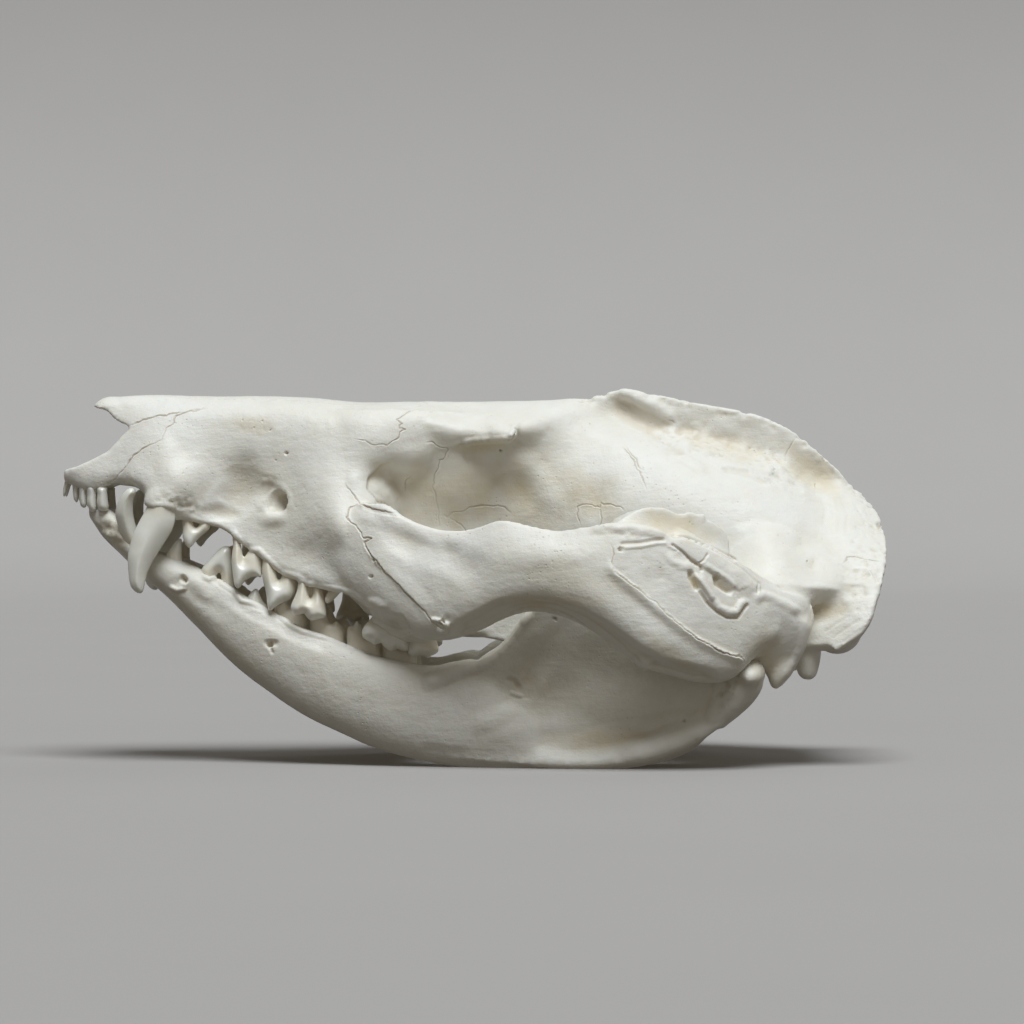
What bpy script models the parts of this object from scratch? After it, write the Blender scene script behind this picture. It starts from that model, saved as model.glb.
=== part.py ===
"""Opossum skull, life size: cranium and mandible resting on the lower borders of the mandible.

All sizes below are in millimetres. The nose points along -X, the left side faces -Y, up is +Z.
"""
import math

import bmesh
import bpy
import numpy as np

for old in list(bpy.data.objects):
    bpy.data.objects.remove(old, do_unlink=True)

MM = 0.001
SEED = 7

# Sizes of the working meshes
CRANIUM_VOXEL = 0.62
MANDIBLE_VOXEL = 0.6
CRANIUM_TRIANGLES = 4700
MANDIBLE_TRIANGLES = 1050
SUTURE_GAP = 0.3
SUTURE_STEPS = 5
FLOOR_CUT = 0.55

# Bone colours
BONE = (0.80, 0.76, 0.66, 1.0)
BONE_DARK = (0.74, 0.69, 0.58, 1.0)

# Face and rostrum. Each row is x, then (half width, height) from the top midline down to the palate
FACE = [
    [-61.7, 0, 44.6, 1.2, 44.5, 2.2, 44.3, 2.8, 44.0, 3.1, 43.7, 3.3, 43.3,
     3.3, 43.0, 3.1, 42.6, 2.6, 42.3, 1.6, 42.1, 0, 42.2],
    [-60.0, 0, 49.5, 1.4, 49.3, 2.5, 48.7, 3.3, 47.7, 4.0, 46.5, 4.5, 45.2,
     4.8, 44.1, 4.8, 42.9, 4.5, 42.0, 3.5, 41.4, 0, 42.2],
    [-57.0, 0, 54.1, 1.9, 53.9, 3.2, 53.2, 3.9, 52.0, 4.5, 50.0, 5.1, 47.5,
     5.8, 45.3, 6.3, 43.4, 6.2, 41.9, 5.2, 40.8, 0, 42.0],
    [-53.0, 0, 54.9, 2.2, 54.7, 3.8, 53.9, 4.7, 52.3, 5.6, 50.1, 6.6, 47.6,
     7.4, 45.4, 7.9, 43.6, 7.7, 42.4, 6.6, 41.9, 0, 41.6],
    [-50.0, 0, 55.1, 2.5, 54.9, 4.3, 54.0, 5.8, 52.3, 7.0, 50.2, 8.2, 47.6,
     9.3, 45.0, 10.0, 43.0, 9.8, 41.8, 7.6, 41.0, 0, 41.0],
    [-46.5, 0, 55.1, 2.8, 54.9, 5.0, 53.9, 6.8, 52.2, 8.2, 50.0, 9.7, 47.0,
     11.0, 43.6, 11.8, 40.6, 11.5, 38.4, 9.8, 37.0, 0, 39.9],
    [-42.5, 0, 55.0, 3.1, 54.8, 5.6, 53.8, 7.3, 52.2, 8.4, 50.0, 9.5, 47.0,
     10.4, 43.6, 11.0, 40.2, 10.8, 37.8, 9.6, 36.3, 0, 38.5],
    [-37.5, 0, 54.9, 3.4, 54.7, 6.2, 53.8, 8.0, 52.2, 8.9, 50.0, 9.5, 47.0,
     9.8, 43.5, 10.2, 39.5, 10.3, 36.8, 9.8, 35.0, 0, 36.3],
    [-33.0, 0, 55.0, 3.8, 54.8, 6.8, 53.8, 8.7, 52.2, 9.6, 49.8, 10.1, 46.8,
     10.2, 42.8, 10.8, 37.8, 11.2, 34.4, 10.6, 31.8, 0, 33.8],
    [-28.0, 0, 54.9, 4.3, 54.6, 7.6, 53.6, 9.5, 51.9, 10.5, 49.4, 11.2, 46.0,
     11.8, 41.5, 12.6, 36.5, 12.8, 32.0, 12.2, 28.3, 0, 31.2],
    [-23.5, 0, 54.6, 4.9, 54.3, 8.5, 53.2, 10.6, 51.4, 11.8, 48.8, 12.8, 45.5,
     14.0, 41.2, 15.4, 35.6, 15.0, 30.8, 14.3, 26.8, 0, 29.2],
    [-19.0, 0, 54.1, 5.3, 53.9, 9.3, 52.8, 11.5, 50.9, 12.7, 48.2, 13.6, 45.2,
     15.4, 40.6, 18.6, 35.2, 17.4, 29.6, 16.2, 25.0, 0, 27.0],
    [-16.0, 0, 54.0, 5.5, 53.8, 9.6, 52.8, 11.8, 51.0, 12.9, 48.3, 13.2, 45.6,
     13.8, 41.0, 16.8, 34.6, 17.8, 28.0, 17.0, 21.8, 0, 25.5],
    [-13.0, 0, 54.1, 5.5, 53.8, 9.6, 52.8, 11.6, 51.2, 12.0, 49.0, 10.4, 46.4,
     9.0, 40.5, 11.8, 30.8, 18.2, 25.6, 17.8, 19.8, 0, 24.0],
    [-9.0, 0, 54.2, 5.5, 53.8, 9.4, 52.6, 11.3, 51.0, 11.3, 48.8, 9.2, 45.8,
     7.8, 39.5, 9.5, 28.2, 18.4, 23.4, 18.0, 18.5, 0, 22.0],
    [-5.6, 0, 54.1, 5.4, 53.7, 9.2, 52.4, 11.0, 50.6, 11.0, 48.4, 9.0, 45.3,
     7.4, 39.0, 8.8, 27.0, 16.0, 21.8, 15.6, 18.6, 0, 20.8],
    [-3.5, 0, 53.6, 5.0, 53.2, 8.6, 51.9, 10.2, 50.2, 10.2, 48.2, 8.6, 45.3,
     7.0, 39.0, 7.6, 27.0, 9.6, 22.0, 9.0, 19.4, 0, 20.4],
]

# Frontal roof, wall between the orbits and braincase, in the same way
BRAINCASE = [
    [-14.0, 0, 53.5, 6.0, 53.2, 10.8, 51.3, 10.4, 47.5, 8.2, 42.0, 7.2, 36.0, 6.0, 27.0, 0, 26.0],
    [-8.0, 0, 54.1, 6.0, 53.7, 11.4, 51.0, 10.3, 47.0, 8.2, 42.0, 7.0, 36.0, 6.2, 26.0, 0, 25.0],
    [-2.0, 0, 54.1, 5.6, 53.5, 11.3, 49.9, 10.2, 46.6, 8.2, 42.0, 6.8, 35.0, 6.2, 25.0, 0, 23.5],
    [3.0, 0, 54.1, 5.2, 53.3, 12.0, 49.4, 10.0, 46.4, 7.8, 41.5, 6.7, 34.0, 6.4, 24.6, 0, 22.6],
    [7.0, 0, 54.2, 4.6, 53.2, 9.8, 50.0, 8.4, 46.4, 7.4, 41.5, 6.8, 34.0, 6.9, 24.6, 0, 22.2],
    [11.0, 0, 54.4, 3.8, 53.2, 6.6, 50.6, 7.2, 46.5, 7.9, 41.5, 8.2, 34.0, 7.9, 24.6, 0, 21.8],
    [16.0, 0, 54.6, 2.2, 53.0, 5.2, 49.6, 7.8, 45.4, 9.7, 40.5, 10.3, 33.5, 9.4, 24.4, 0, 21.4],
    [21.0, 0, 52.3, 2.6, 50.8, 6.2, 48.2, 9.3, 44.2, 11.5, 39.5, 12.2, 33.0, 11.0, 24.0, 0, 20.9],
    [27.0, 0, 50.2, 3.0, 49.2, 7.0, 46.9, 10.6, 43.0, 12.9, 38.2, 13.6, 32.0, 12.2, 23.6, 0, 20.3],
    [33.0, 0, 49.0, 3.0, 48.0, 7.3, 45.6, 11.2, 41.8, 13.7, 37.0, 14.5, 31.0, 13.0, 23.2, 0, 19.7],
    [39.0, 0, 47.6, 3.0, 46.6, 7.3, 44.3, 11.2, 40.4, 13.9, 35.8, 14.8, 30.0, 13.4, 22.6, 0, 19.0],
    [45.0, 0, 45.4, 3.0, 44.4, 7.0, 42.0, 10.8, 38.4, 13.6, 34.2, 14.7, 28.8, 13.2, 21.8, 0, 18.4],
    [50.0, 0, 42.4, 3.0, 41.4, 6.8, 39.2, 10.4, 36.0, 13.2, 32.3, 14.3, 27.4, 12.4, 20.8, 0, 18.0],
    [54.0, 0, 39.2, 3.0, 38.2, 6.4, 36.4, 9.8, 33.8, 12.4, 30.4, 13.3, 26.0, 11.2, 20.2, 0, 18.2],
    [57.2, 0, 36.0, 2.6, 35.2, 5.4, 33.8, 8.2, 31.6, 10.2, 28.8, 10.8, 25.2, 9.0, 20.9, 0, 19.6],
]

# Crest along the midline: x, top edge and root
CREST = [
    [15.5, 54.4, 50.0],
    [18.4, 55.2, 49.0],
    [22.1, 56.0, 48.0],
    [27.1, 55.2, 47.0],
    [31.9, 54.2, 46.0],
    [39.4, 52.8, 44.0],
    [43.9, 51.5, 42.5],
    [48.4, 49.0, 40.0],
    [54.2, 44.0, 36.0],
    [57.6, 40.2, 33.0],
]
CREST_HALF_EDGE = 0.85
CREST_HALF_ROOT = 2.2

# Wing of the crest at the back of the head: root, middle and rim points of the left side
NUCHAL_WING = [
    [(46, 0, 40.5), (53.0, 0, 41.0), (57.8, 0, 40.0)],
    [(46, -4.5, 38.0), (54.5, -4.8, 38.0), (59.8, -4.4, 36.8)],
    [(46, -8.5, 34.5), (54.6, -9.6, 34.0), (60.5, -10.0, 32.8)],
    [(46, -10.5, 31.5), (53.8, -13.2, 30.5), (59.8, -15.2, 29.0)],
    [(45, -11.5, 28.5), (52.8, -15.8, 27.0), (58.3, -18.8, 24.6)],
    [(44, -12.0, 25.5), (51.0, -17.2, 23.4), (56.2, -20.8, 20.4)],
    [(43, -12.0, 22.5), (48.0, -16.8, 20.4), (52.2, -20.6, 17.4)],
]
NUCHAL_HALF = (2.2, 1.4, 0.9)

# Ridge over the ear, from the root of the arch to the wing: root, middle and rim
EAR_RIDGE = [
    [(36.5, -11.0, 30.0), (37.0, -18.5, 28.0), (37.5, -27.0, 26.6)],
    [(41.0, -11.0, 29.5), (42.0, -17.5, 27.4), (42.5, -23.0, 26.0)],
    [(46.0, -11.0, 28.5), (47.0, -16.0, 26.6), (48.0, -20.2, 25.0)],
    [(52.0, -11.0, 27.5), (53.0, -16.0, 26.0), (54.5, -19.8, 24.8)],
]

# Thin plates behind the palate: x, distance from the midline, lower and upper edge
PTERYGOID = [
    (-2.0, 6.4, 19.6, 26.0),
    (3.0, 5.8, 18.6, 26.0),
    (8.0, 5.2, 17.6, 26.0),
    (13.0, 5.0, 18.6, 25.0),
    (18.0, 5.4, 20.0, 24.0),
]

# Cheek arch: x, y of its middle, top edge, bottom edge, half thickness, inward lean of the bottom edge
ARCH = [
    [-20.5, -13.0, 37.0, 28.0, 3.0, 0.0],
    [-16.5, -17.0, 38.6, 26.0, 3.0, 0.0],
    [-12.0, -20.6, 37.9, 22.4, 2.6, 0.2],
    [-8.0, -23.2, 36.0, 19.9, 2.3, 0.6],
    [-4.0, -25.4, 34.9, 19.7, 2.1, 1.2],
    [0.0, -27.5, 35.2, 21.0, 2.0, 1.8],
    [4.0, -29.3, 36.4, 22.9, 1.9, 2.4],
    [8.0, -30.6, 35.5, 23.8, 1.8, 2.8],
    [12.0, -31.5, 34.9, 23.3, 1.8, 3.0],
    [16.0, -32.1, 35.5, 21.7, 1.8, 3.0],
    [20.0, -32.4, 36.2, 19.0, 1.8, 2.8],
    [24.0, -32.4, 35.9, 16.0, 1.8, 2.4],
    [28.0, -32.0, 34.2, 14.7, 1.8, 2.0],
    [32.0, -31.0, 33.0, 13.7, 1.8, 1.6],
    [36.0, -29.2, 31.2, 14.0, 2.0, 1.2],
    [39.0, -27.2, 29.0, 16.8, 2.4, 0.8],
    [42.0, -24.6, 26.8, 18.6, 2.8, 0.4],
]

# Sutures of the left side as seen from the side: x and z
NASAL_SUTURE = [
    (-53.5, 49.6), (-51.5, 50.3), (-50.0, 51.3), (-47.8, 51.8), (-45.0, 52.7), (-40.0, 52.7), (-30.0, 52.3),
    (-24.5, 51.7), (-21.5, 50.2), (-17.5, 48.8), (-14.6, 48.3), (-12.0, 49.4), (-10.6, 51.6), (-9.6, 57.0),
]
PREMAXILLA_SUTURE = [
    (-45.0, 53.4), (-45.9, 50.5), (-46.8, 48.6), (-48.4, 47.4), (-50.2, 46.3), (-51.6, 44.8), (-53.0, 42.9),
    (-53.9, 41.0), (-54.2, 38.0),
]
MAXILLA_SUTURE = [
    (-14.4, 49.4), (-16.4, 46.0), (-17.6, 43.4), (-17.0, 40.6), (-16.3, 39.2), (-15.7, 38.0), (-12.6, 33.6),
    (-8.0, 30.4), (-2.0, 28.0), (2.6, 26.2), (4.4, 23.4), (4.6, 12.0),
]
JUGAL_FRONT_SUTURE = [
    (-12.0, 43.5), (-14.2, 40.6), (-16.4, 39.0), (-18.4, 38.0), (-18.8, 36.8), (-17.6, 35.0), (-16.2, 32.6),
    (-14.4, 30.0), (-11.8, 27.4), (-9.4, 25.0), (-7.2, 22.8), (-5.0, 20.4), (-3.8, 17.5), (-3.6, 12.0),
]
JUGAL_REAR_SUTURE = [
    (15.6, 39.0), (17.2, 35.6), (18.2, 32.4), (19.6, 29.8), (23.4, 26.8), (26.3, 24.2), (29.1, 21.6),
    (32.0, 19.6),
    (34.8, 18.2), (37.2, 17.4), (39.2, 16.0), (41.5, 13.0),
]
JUGAL_INNER = [(-20.0, 13.6), (-16.0, 15.0), (-12.0, 17.0), (-7.0, 19.4), (-2.0, 21.0), (1.0, 22.0)]

# Opening of the nose in side view
NOSE_OPENING = [
    (-70.0, 43.4), (-61.6, 43.9), (-59.7, 44.3), (-57.5, 45.3), (-56.0, 46.1), (-54.9, 46.6), (-53.8, 47.8),
    (-52.6, 49.2), (-51.4, 50.2), (-52.8, 50.7), (-54.0, 51.4), (-54.8, 52.3), (-55.6, 52.9), (-57.4, 53.2),
    (-57.9, 60.0), (-70.0, 60.0),
]

# Tooth-bearing part of the jaw: x, middle y, top edge, bottom edge, half thickness
JAW_BODY = [
    [-57.9, -2.6, 39.2, 36.9, 1.6],
    [-56.2, -3.2, 38.3, 34.4, 2.4],
    [-53.0, -4.3, 35.6, 31.2, 3.4],
    [-49.0, -5.3, 32.0, 27.6, 4.2],
    [-45.0, -6.1, 30.9, 24.0, 4.0],
    [-41.0, -7.2, 29.2, 20.0, 3.6],
    [-36.0, -8.8, 26.4, 15.2, 3.4],
    [-31.0, -10.5, 23.4, 11.4, 3.4],
    [-26.0, -12.2, 21.0, 8.1, 3.4],
    [-20.0, -13.8, 18.6, 5.2, 3.5],
    [-14.0, -15.3, 16.5, 2.8, 3.6],
    [-8.0, -16.8, 15.4, 1.3, 3.4],
    [-2.0, -18.3, 14.6, 0.5, 3.0],
    [4.0, -19.4, 12.0, 0.1, 2.6],
    [9.0, -20.0, 8.0, 0.2, 1.8],
]

# Branch of the jaw: rows from the lower border up to the tip of the coronoid plate
JAW_BRANCH = [
    [(-9, -17.4, 2.9), (0, -18.9, 1.6), (8, -20.0, 0.9), (15, -20.8, 0.7),
     (22, -21.4, 1.3), (29, -21.8, 3.3), (36, -22.4, 7.3)],
    [(-9, -17.4, 7.0), (0, -18.9, 5.6), (8, -19.6, 5.0), (15, -20.2, 4.8),
     (22, -20.8, 5.4), (29, -21.4, 7.2), (36, -22.4, 10.2)],
    [(-7, -17.8, 12.0), (1, -19.2, 12.0), (9, -19.6, 12.0), (16, -20.0, 12.0),
     (22, -20.4, 12.5), (28.5, -21.0, 13.0), (34.5, -21.8, 13.8)],
    [(-3, -18.8, 15.4), (4, -20.2, 18.0), (11, -20.2, 18.6), (17, -20.2, 18.6),
     (22, -20.4, 18.6), (27, -20.6, 18.4), (32.4, -21.2, 18.2)],
    [(8.2, -21.2, 24.0), (12, -21.0, 24.6), (16, -20.6, 24.8), (20, -20.4, 25.0),
     (24, -20.4, 25.0), (28, -20.4, 24.6), (32.0, -20.6, 24.0)],
    [(14.2, -21.6, 30.6), (17, -21.4, 31.0), (20, -21.0, 31.2), (23, -20.6, 31.2),
     (26, -20.4, 31.0), (30, -20.2, 30.4), (34.2, -20.2, 29.6)],
    [(20.3, -21.6, 36.5), (22.0, -21.4, 37.4), (24.4, -21.0, 38.0), (27, -20.6, 37.9),
     (30, -20.2, 37.1), (33, -20.0, 36.2), (35.8, -20.0, 34.0)],
]
JAW_BRANCH_HALF = [
    [1.2, 1.8, 2.2, 2.3, 2.2, 2.0, 2.0],
    [1.6, 2.0, 1.6, 1.5, 1.4, 1.4, 1.8],
    [1.6, 1.6, 1.1, 1.0, 1.0, 1.0, 1.6],
    [1.8, 1.8, 1.0, 0.9, 0.9, 0.9, 1.3],
    [1.7, 1.3, 0.9, 0.85, 0.85, 0.85, 1.0],
    [1.4, 1.1, 0.85, 0.85, 0.85, 0.85, 0.9],
    [1.0, 0.9, 0.8, 0.8, 0.8, 0.8, 0.8],
]

# Shelf at the rear corner of the jaw, turned in towards the middle: x rows from outside to inside
JAW_CORNER = [
    [(12, -21.0, 1.5), (12, -19.2, 1.3), (12, -17.6, 1.4)],
    [(18, -21.6, 1.9), (18, -18.0, 1.5), (18, -15.4, 1.8)],
    [(24, -22.0, 2.8), (24, -17.0, 1.8), (24, -13.2, 2.1)],
    [(30, -22.2, 4.8), (30, -16.8, 3.2), (30, -12.2, 3.2)],
    [(34, -22.2, 7.4), (34.5, -17.4, 5.2), (34.5, -13.4, 5.0)],
    [(36.5, -21.6, 9.4), (36.5, -18.0, 7.2), (36.5, -15.2, 7.0)],
]

# Teeth. Along the row each entry is name, x, y, gum height, length, width, crown height
UPPER_INCISORS = [
    ("I1", -61.0, -1.5, 42.4, 1.3, 1.4, 3.0),
    ("I2", -60.5, -3.2, 41.9, 1.3, 1.2, 3.5),
    ("I3", -59.4, -4.5, 41.5, 1.3, 1.2, 3.8),
    ("I4", -58.0, -5.3, 41.2, 1.3, 1.2, 3.8),
    ("I5", -56.4, -5.8, 41.0, 1.4, 1.2, 3.6),
]
UPPER_PREMOLARS = [
    ("P1", -41.9, -10.1, 36.0, 3.0, 1.8, 3.4),
    ("P2", -34.2, -10.4, 33.2, 5.0, 2.6, 6.6),
    ("P3", -29.0, -11.6, 29.6, 5.2, 3.0, 6.4),
]
UPPER_MOLARS = [
    ("M1", -24.4, -13.7, 27.0, 5.2, 3.9, 4.6),
    ("M2", -19.2, -15.0, 24.8, 5.2, 4.3, 4.4),
    ("M3", -14.2, -16.1, 21.8, 5.0, 4.6, 3.4),
    ("M4", -9.9, -16.5, 18.8, 3.6, 4.2, 2.2),
]
MISSING_TOOTH = "M2"
LOWER_INCISORS = [
    ("i1", -57.6, -1.2, 39.0, 1.0, 1.0, 2.4),
    ("i2", -57.3, -2.5, 38.8, 1.0, 1.0, 2.4),
    ("i3", -56.6, -3.6, 38.2, 1.0, 1.0, 2.4),
    ("i4", -55.7, -4.6, 37.6, 1.0, 1.0, 2.2),
]
LOWER_PREMOLARS = [
    ("p1", -46.0, -7.0, 31.0, 2.6, 1.6, 2.2),
    ("p2", -37.6, -7.6, 27.0, 4.6, 2.1, 5.4),
    ("p3", -32.4, -8.7, 24.0, 4.4, 2.2, 4.8),
]
LOWER_MOLARS = [
    ("m1", -27.2, -10.2, 21.4, 4.9, 2.7, 3.4),
    ("m2", -21.8, -11.5, 19.4, 5.0, 2.9, 3.4),
    ("m3", -16.4, -12.3, 17.6, 5.0, 2.9, 3.2),
    ("m4", -11.2, -12.9, 16.2, 4.6, 2.6, 2.8),
]
UPPER_CANINE = [
    (-45.6, -9.8, 43.5), (-46.4, -10.9, 39.5), (-47.4, -11.6, 35.5), (-48.9, -12.0, 31.5),
    (-49.7, -12.1, 28.0), (-49.5, -12.0, 25.7),
]
UPPER_CANINE_HALF = [(1.6, 2.6), (1.7, 2.8), (1.6, 2.6), (1.35, 1.95), (0.9, 1.15), (0.25, 0.3)]
LOWER_CANINE = [
    (-49.4, -6.2, 30.0), (-51.0, -7.0, 33.5), (-52.0, -7.9, 37.0), (-51.9, -8.4, 39.4), (-51.0, -8.6, 41.3),
]
LOWER_CANINE_HALF = [(1.4, 2.0), (1.4, 2.0), (1.2, 1.6), (0.8, 1.0), (0.22, 0.25)]


def spline(knots, values, at):
    """Smooth curve through the values at the knots, read at the given places."""
    knots = np.asarray(knots, float)
    values = np.asarray(values, float)
    at = np.clip(np.asarray(at, float), knots[0], knots[-1])
    slopes = np.gradient(values, knots, axis=0)
    i = np.clip(np.searchsorted(knots, at, side="right") - 1, 0, len(knots) - 2)
    shape = (-1,) + (1,) * (values.ndim - 1)
    span = (knots[i + 1] - knots[i]).reshape(shape)
    t = (at - knots[i]).reshape(shape) / span
    start = (2 * t**3 - 3 * t**2 + 1) * values[i] + (t**3 - 2 * t**2 + t) * slopes[i] * span
    end = (3 * t**2 - 2 * t**3) * values[i + 1] + (t**3 - t**2) * slopes[i + 1] * span
    return start + end


def closed_curve(points, per_span):
    """Smooth closed ring through the points."""
    p = np.asarray(points, float)
    t = (np.arange(per_span) / per_span)[:, None]
    spans = []
    for i in range(len(p)):
        a, b, c, d = p[i - 1], p[i], p[(i + 1) % len(p)], p[(i + 2) % len(p)]
        start = (2 * t**3 - 3 * t**2 + 1) * b + (t**3 - 2 * t**2 + t) * (c - a) / 2
        spans.append(start + (3 * t**2 - 2 * t**3) * c + (t**3 - t**2) * (d - b) / 2)
    return np.concatenate(spans)


def new_object(name, verts, faces):
    """Mesh object from points in millimetres, with its faces turned outwards."""
    mesh = bpy.data.meshes.new(name)
    mesh.from_pydata([tuple(v) for v in np.asarray(verts, float) * MM], [], faces)
    bm = bmesh.new()
    bm.from_mesh(mesh)
    bmesh.ops.triangulate(bm, faces=bm.faces)
    bmesh.ops.recalc_face_normals(bm, faces=bm.faces)
    bm.to_mesh(mesh)
    bm.free()
    obj = bpy.data.objects.new(name, mesh)
    bpy.context.scene.collection.objects.link(obj)
    return obj


def skin(name, rings):
    """Closed body through rings of equal length, capped at both ends."""
    rings = np.asarray(rings, float)
    m, n = rings.shape[:2]
    faces = []
    for i in range(m - 1):
        for j in range(n):
            k = (j + 1) % n
            faces.append((i * n + j, i * n + k, (i + 1) * n + k, (i + 1) * n + j))
    faces.append(tuple(range(n - 1, -1, -1)))
    faces.append(tuple((m - 1) * n + j for j in range(n)))
    return new_object(name, rings.reshape(-1, 3), faces)


def hull(name, table, step=1.0, per_span=4):
    """Body that is the same on both sides of y = 0, through the sections of the table."""
    table = np.asarray(table, float)
    count = int(round((table[-1, 0] - table[0, 0]) / step)) + 1
    xs = np.linspace(table[0, 0], table[-1, 0], count)
    rings = []
    for x, row in zip(xs, spline(table[:, 0], table[:, 1:], xs)):
        half = row.reshape(-1, 2)
        half[0, 0] = half[-1, 0] = 0.0
        points = [(-w, z) for w, z in half] + [(w, z) for w, z in half[-2:0:-1]]
        ring = closed_curve(points, per_span)
        rings.append(np.column_stack([np.full(len(ring), x), ring]))
    return skin(name, rings)


def sheet(name, grid, half, along=16, across=9):
    """Curved plate through a grid of points, with half its thickness given at each one."""
    grid = np.asarray(grid, float)
    half = np.broadcast_to(np.asarray(half, float), grid.shape[:2])
    m, n = grid.shape[:2]
    both = np.concatenate([grid, half[..., None]], axis=2)
    both = spline(np.arange(m), both, np.linspace(0, m - 1, along))
    both = spline(np.arange(n), np.swapaxes(both, 0, 1), np.linspace(0, n - 1, across))
    both = np.swapaxes(both, 0, 1)
    p, t = both[..., :3], np.maximum(both[..., 3:], 0.05)
    normal = np.cross(np.gradient(p, axis=0), np.gradient(p, axis=1))
    normal /= np.linalg.norm(normal, axis=2, keepdims=True) + 1e-9
    rings = np.concatenate([p + normal * t, (p - normal * t)[:, ::-1]], axis=1)
    return skin(name, rings)


def rod(name, path, half, side=(0, 1, 0), rings=10, around=12, power=2.0):
    """Tapered rod along a smooth path. Each half size is (along side, across it)."""
    path, half = np.asarray(path, float), np.asarray(half, float)
    k = np.arange(len(path))
    at = np.linspace(0, len(path) - 1, rings)
    p, s = spline(k, path, at), np.maximum(spline(k, half, at), 0.03)
    tangent = np.gradient(p, axis=0)
    tangent /= np.linalg.norm(tangent, axis=1, keepdims=True)
    side = np.asarray(side, float)
    u = side - tangent * (tangent @ side)[:, None]
    u /= np.linalg.norm(u, axis=1, keepdims=True)
    v = np.cross(tangent, u)
    a = np.linspace(0, 2 * math.pi, around, endpoint=False)
    ca = np.sign(np.cos(a)) * np.abs(np.cos(a)) ** (2 / power)
    sa = np.sign(np.sin(a)) * np.abs(np.sin(a)) ** (2 / power)
    out = p[:, None] + u[:, None] * (ca[None, :, None] * s[:, :1, None])
    return skin(name, out + v[:, None] * (sa[None, :, None] * s[:, 1:, None]))


def ball(name, centre, radii, segments=16, rings=10):
    """Closed ellipsoid."""
    polar = np.linspace(0, math.pi, rings + 1)[1:-1]
    turn = np.linspace(0, 2 * math.pi, segments, endpoint=False)
    out = []
    for t in polar:
        ring = np.column_stack([
            np.full(segments, math.cos(t) * radii[0]),
            math.sin(t) * np.cos(turn) * radii[1],
            math.sin(t) * np.sin(turn) * radii[2],
        ])
        out.append(ring + np.asarray(centre, float))
    return skin(name, out)


def smooth_line(line):
    """Smooth line through the points."""
    line = np.asarray(line, float)
    return spline(np.arange(len(line)), line, np.linspace(0, len(line) - 1, SUTURE_STEPS * len(line) // 4))


def ribbon(name, line, gap, y_from, y_to):
    """Thin upright cutter that follows a line in side view, between two distances from the midline."""
    p = smooth_line(line)
    y_from = np.broadcast_to(y_from, len(p))
    y_to = np.broadcast_to(y_to, len(p))
    grid = [[(x, y0, z), (x, y1, z)] for (x, z), y0, y1 in zip(p, y_from, y_to)]
    return sheet(name, grid, gap / 2, along=len(p), across=2)


def prism(name, outline, y_from, y_to):
    """Straight body with the given outline in side view."""
    x, z = np.asarray(outline, float).T
    rings = [np.column_stack([x, np.full(len(x), y), z]) for y in (y_from, y_to)]
    return skin(name, rings)


def other_side(obj):
    """Copy of the object on the other side of the midline."""
    twin = obj.copy()
    twin.data = obj.data.copy()
    twin.name = obj.name + "_other"
    bpy.context.scene.collection.objects.link(twin)
    bm = bmesh.new()
    bm.from_mesh(twin.data)
    for v in bm.verts:
        v.co.y = -v.co.y
    bmesh.ops.reverse_faces(bm, faces=bm.faces)
    bm.to_mesh(twin.data)
    bm.free()
    return twin


def both_sides(obj):
    """The object and its copy on the other side."""
    return [obj, other_side(obj)]


def apply_modifiers(obj):
    """Replaces the mesh of the object by what its modifiers make of it."""
    graph = bpy.context.evaluated_depsgraph_get()
    mesh = bpy.data.meshes.new_from_object(obj.evaluated_get(graph))
    obj.modifiers.clear()
    old_mesh = obj.data
    obj.data = mesh
    bpy.data.meshes.remove(old_mesh)
    return obj


def joined(name, objects):
    """One object that holds the shells of all of them."""
    bm = bmesh.new()
    for obj in objects:
        bm.from_mesh(obj.data)
    mesh = bpy.data.meshes.new(name)
    bm.to_mesh(mesh)
    bm.free()
    for obj in objects:
        bpy.data.objects.remove(obj)
    obj = bpy.data.objects.new(name, mesh)
    bpy.context.scene.collection.objects.link(obj)
    return obj


def fused(obj, voxel, rounds):
    """Fuses overlapping shells into one skin and rounds the places where they join."""
    fuse = obj.modifiers.new("fuse", "REMESH")
    fuse.mode = "VOXEL"
    fuse.voxel_size = voxel * MM
    smooth = obj.modifiers.new("round", "SMOOTH")
    smooth.factor = 0.5
    smooth.iterations = rounds
    return apply_modifiers(obj)


def thinned(obj, triangles):
    """Reduces the mesh to about the given number of triangles."""
    obj.data.calc_loop_triangles()
    ratio = triangles / len(obj.data.loop_triangles)
    if ratio < 1.0:
        thin = obj.modifiers.new("thin", "DECIMATE")
        thin.ratio = ratio
        thin.use_collapse_triangulate = True
        apply_modifiers(obj)
    return obj


def cut(obj, cutters, solver="EXACT"):
    """Takes the cutters away from the object, one after the other."""
    for cutter in cutters:
        cutter.hide_render = True
        cutter.display_type = "WIRE"
        take = obj.modifiers.new("cut", "BOOLEAN")
        take.operation = "DIFFERENCE"
        take.solver = solver
        take.object = cutter
        apply_modifiers(obj)
        bpy.data.objects.remove(cutter)
    return obj


def united(obj, pieces, solver="EXACT"):
    """Adds the pieces to the object with one union over a collection."""
    group = bpy.data.collections.new("pieces")
    for piece in pieces:
        group.objects.link(piece)
    add = obj.modifiers.new("join", "BOOLEAN")
    add.operation = "UNION"
    add.solver = solver
    add.operand_type = "COLLECTION"
    add.collection = group
    apply_modifiers(obj)
    for piece in pieces:
        bpy.data.objects.remove(piece)
    bpy.data.collections.remove(group)
    return obj


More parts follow.
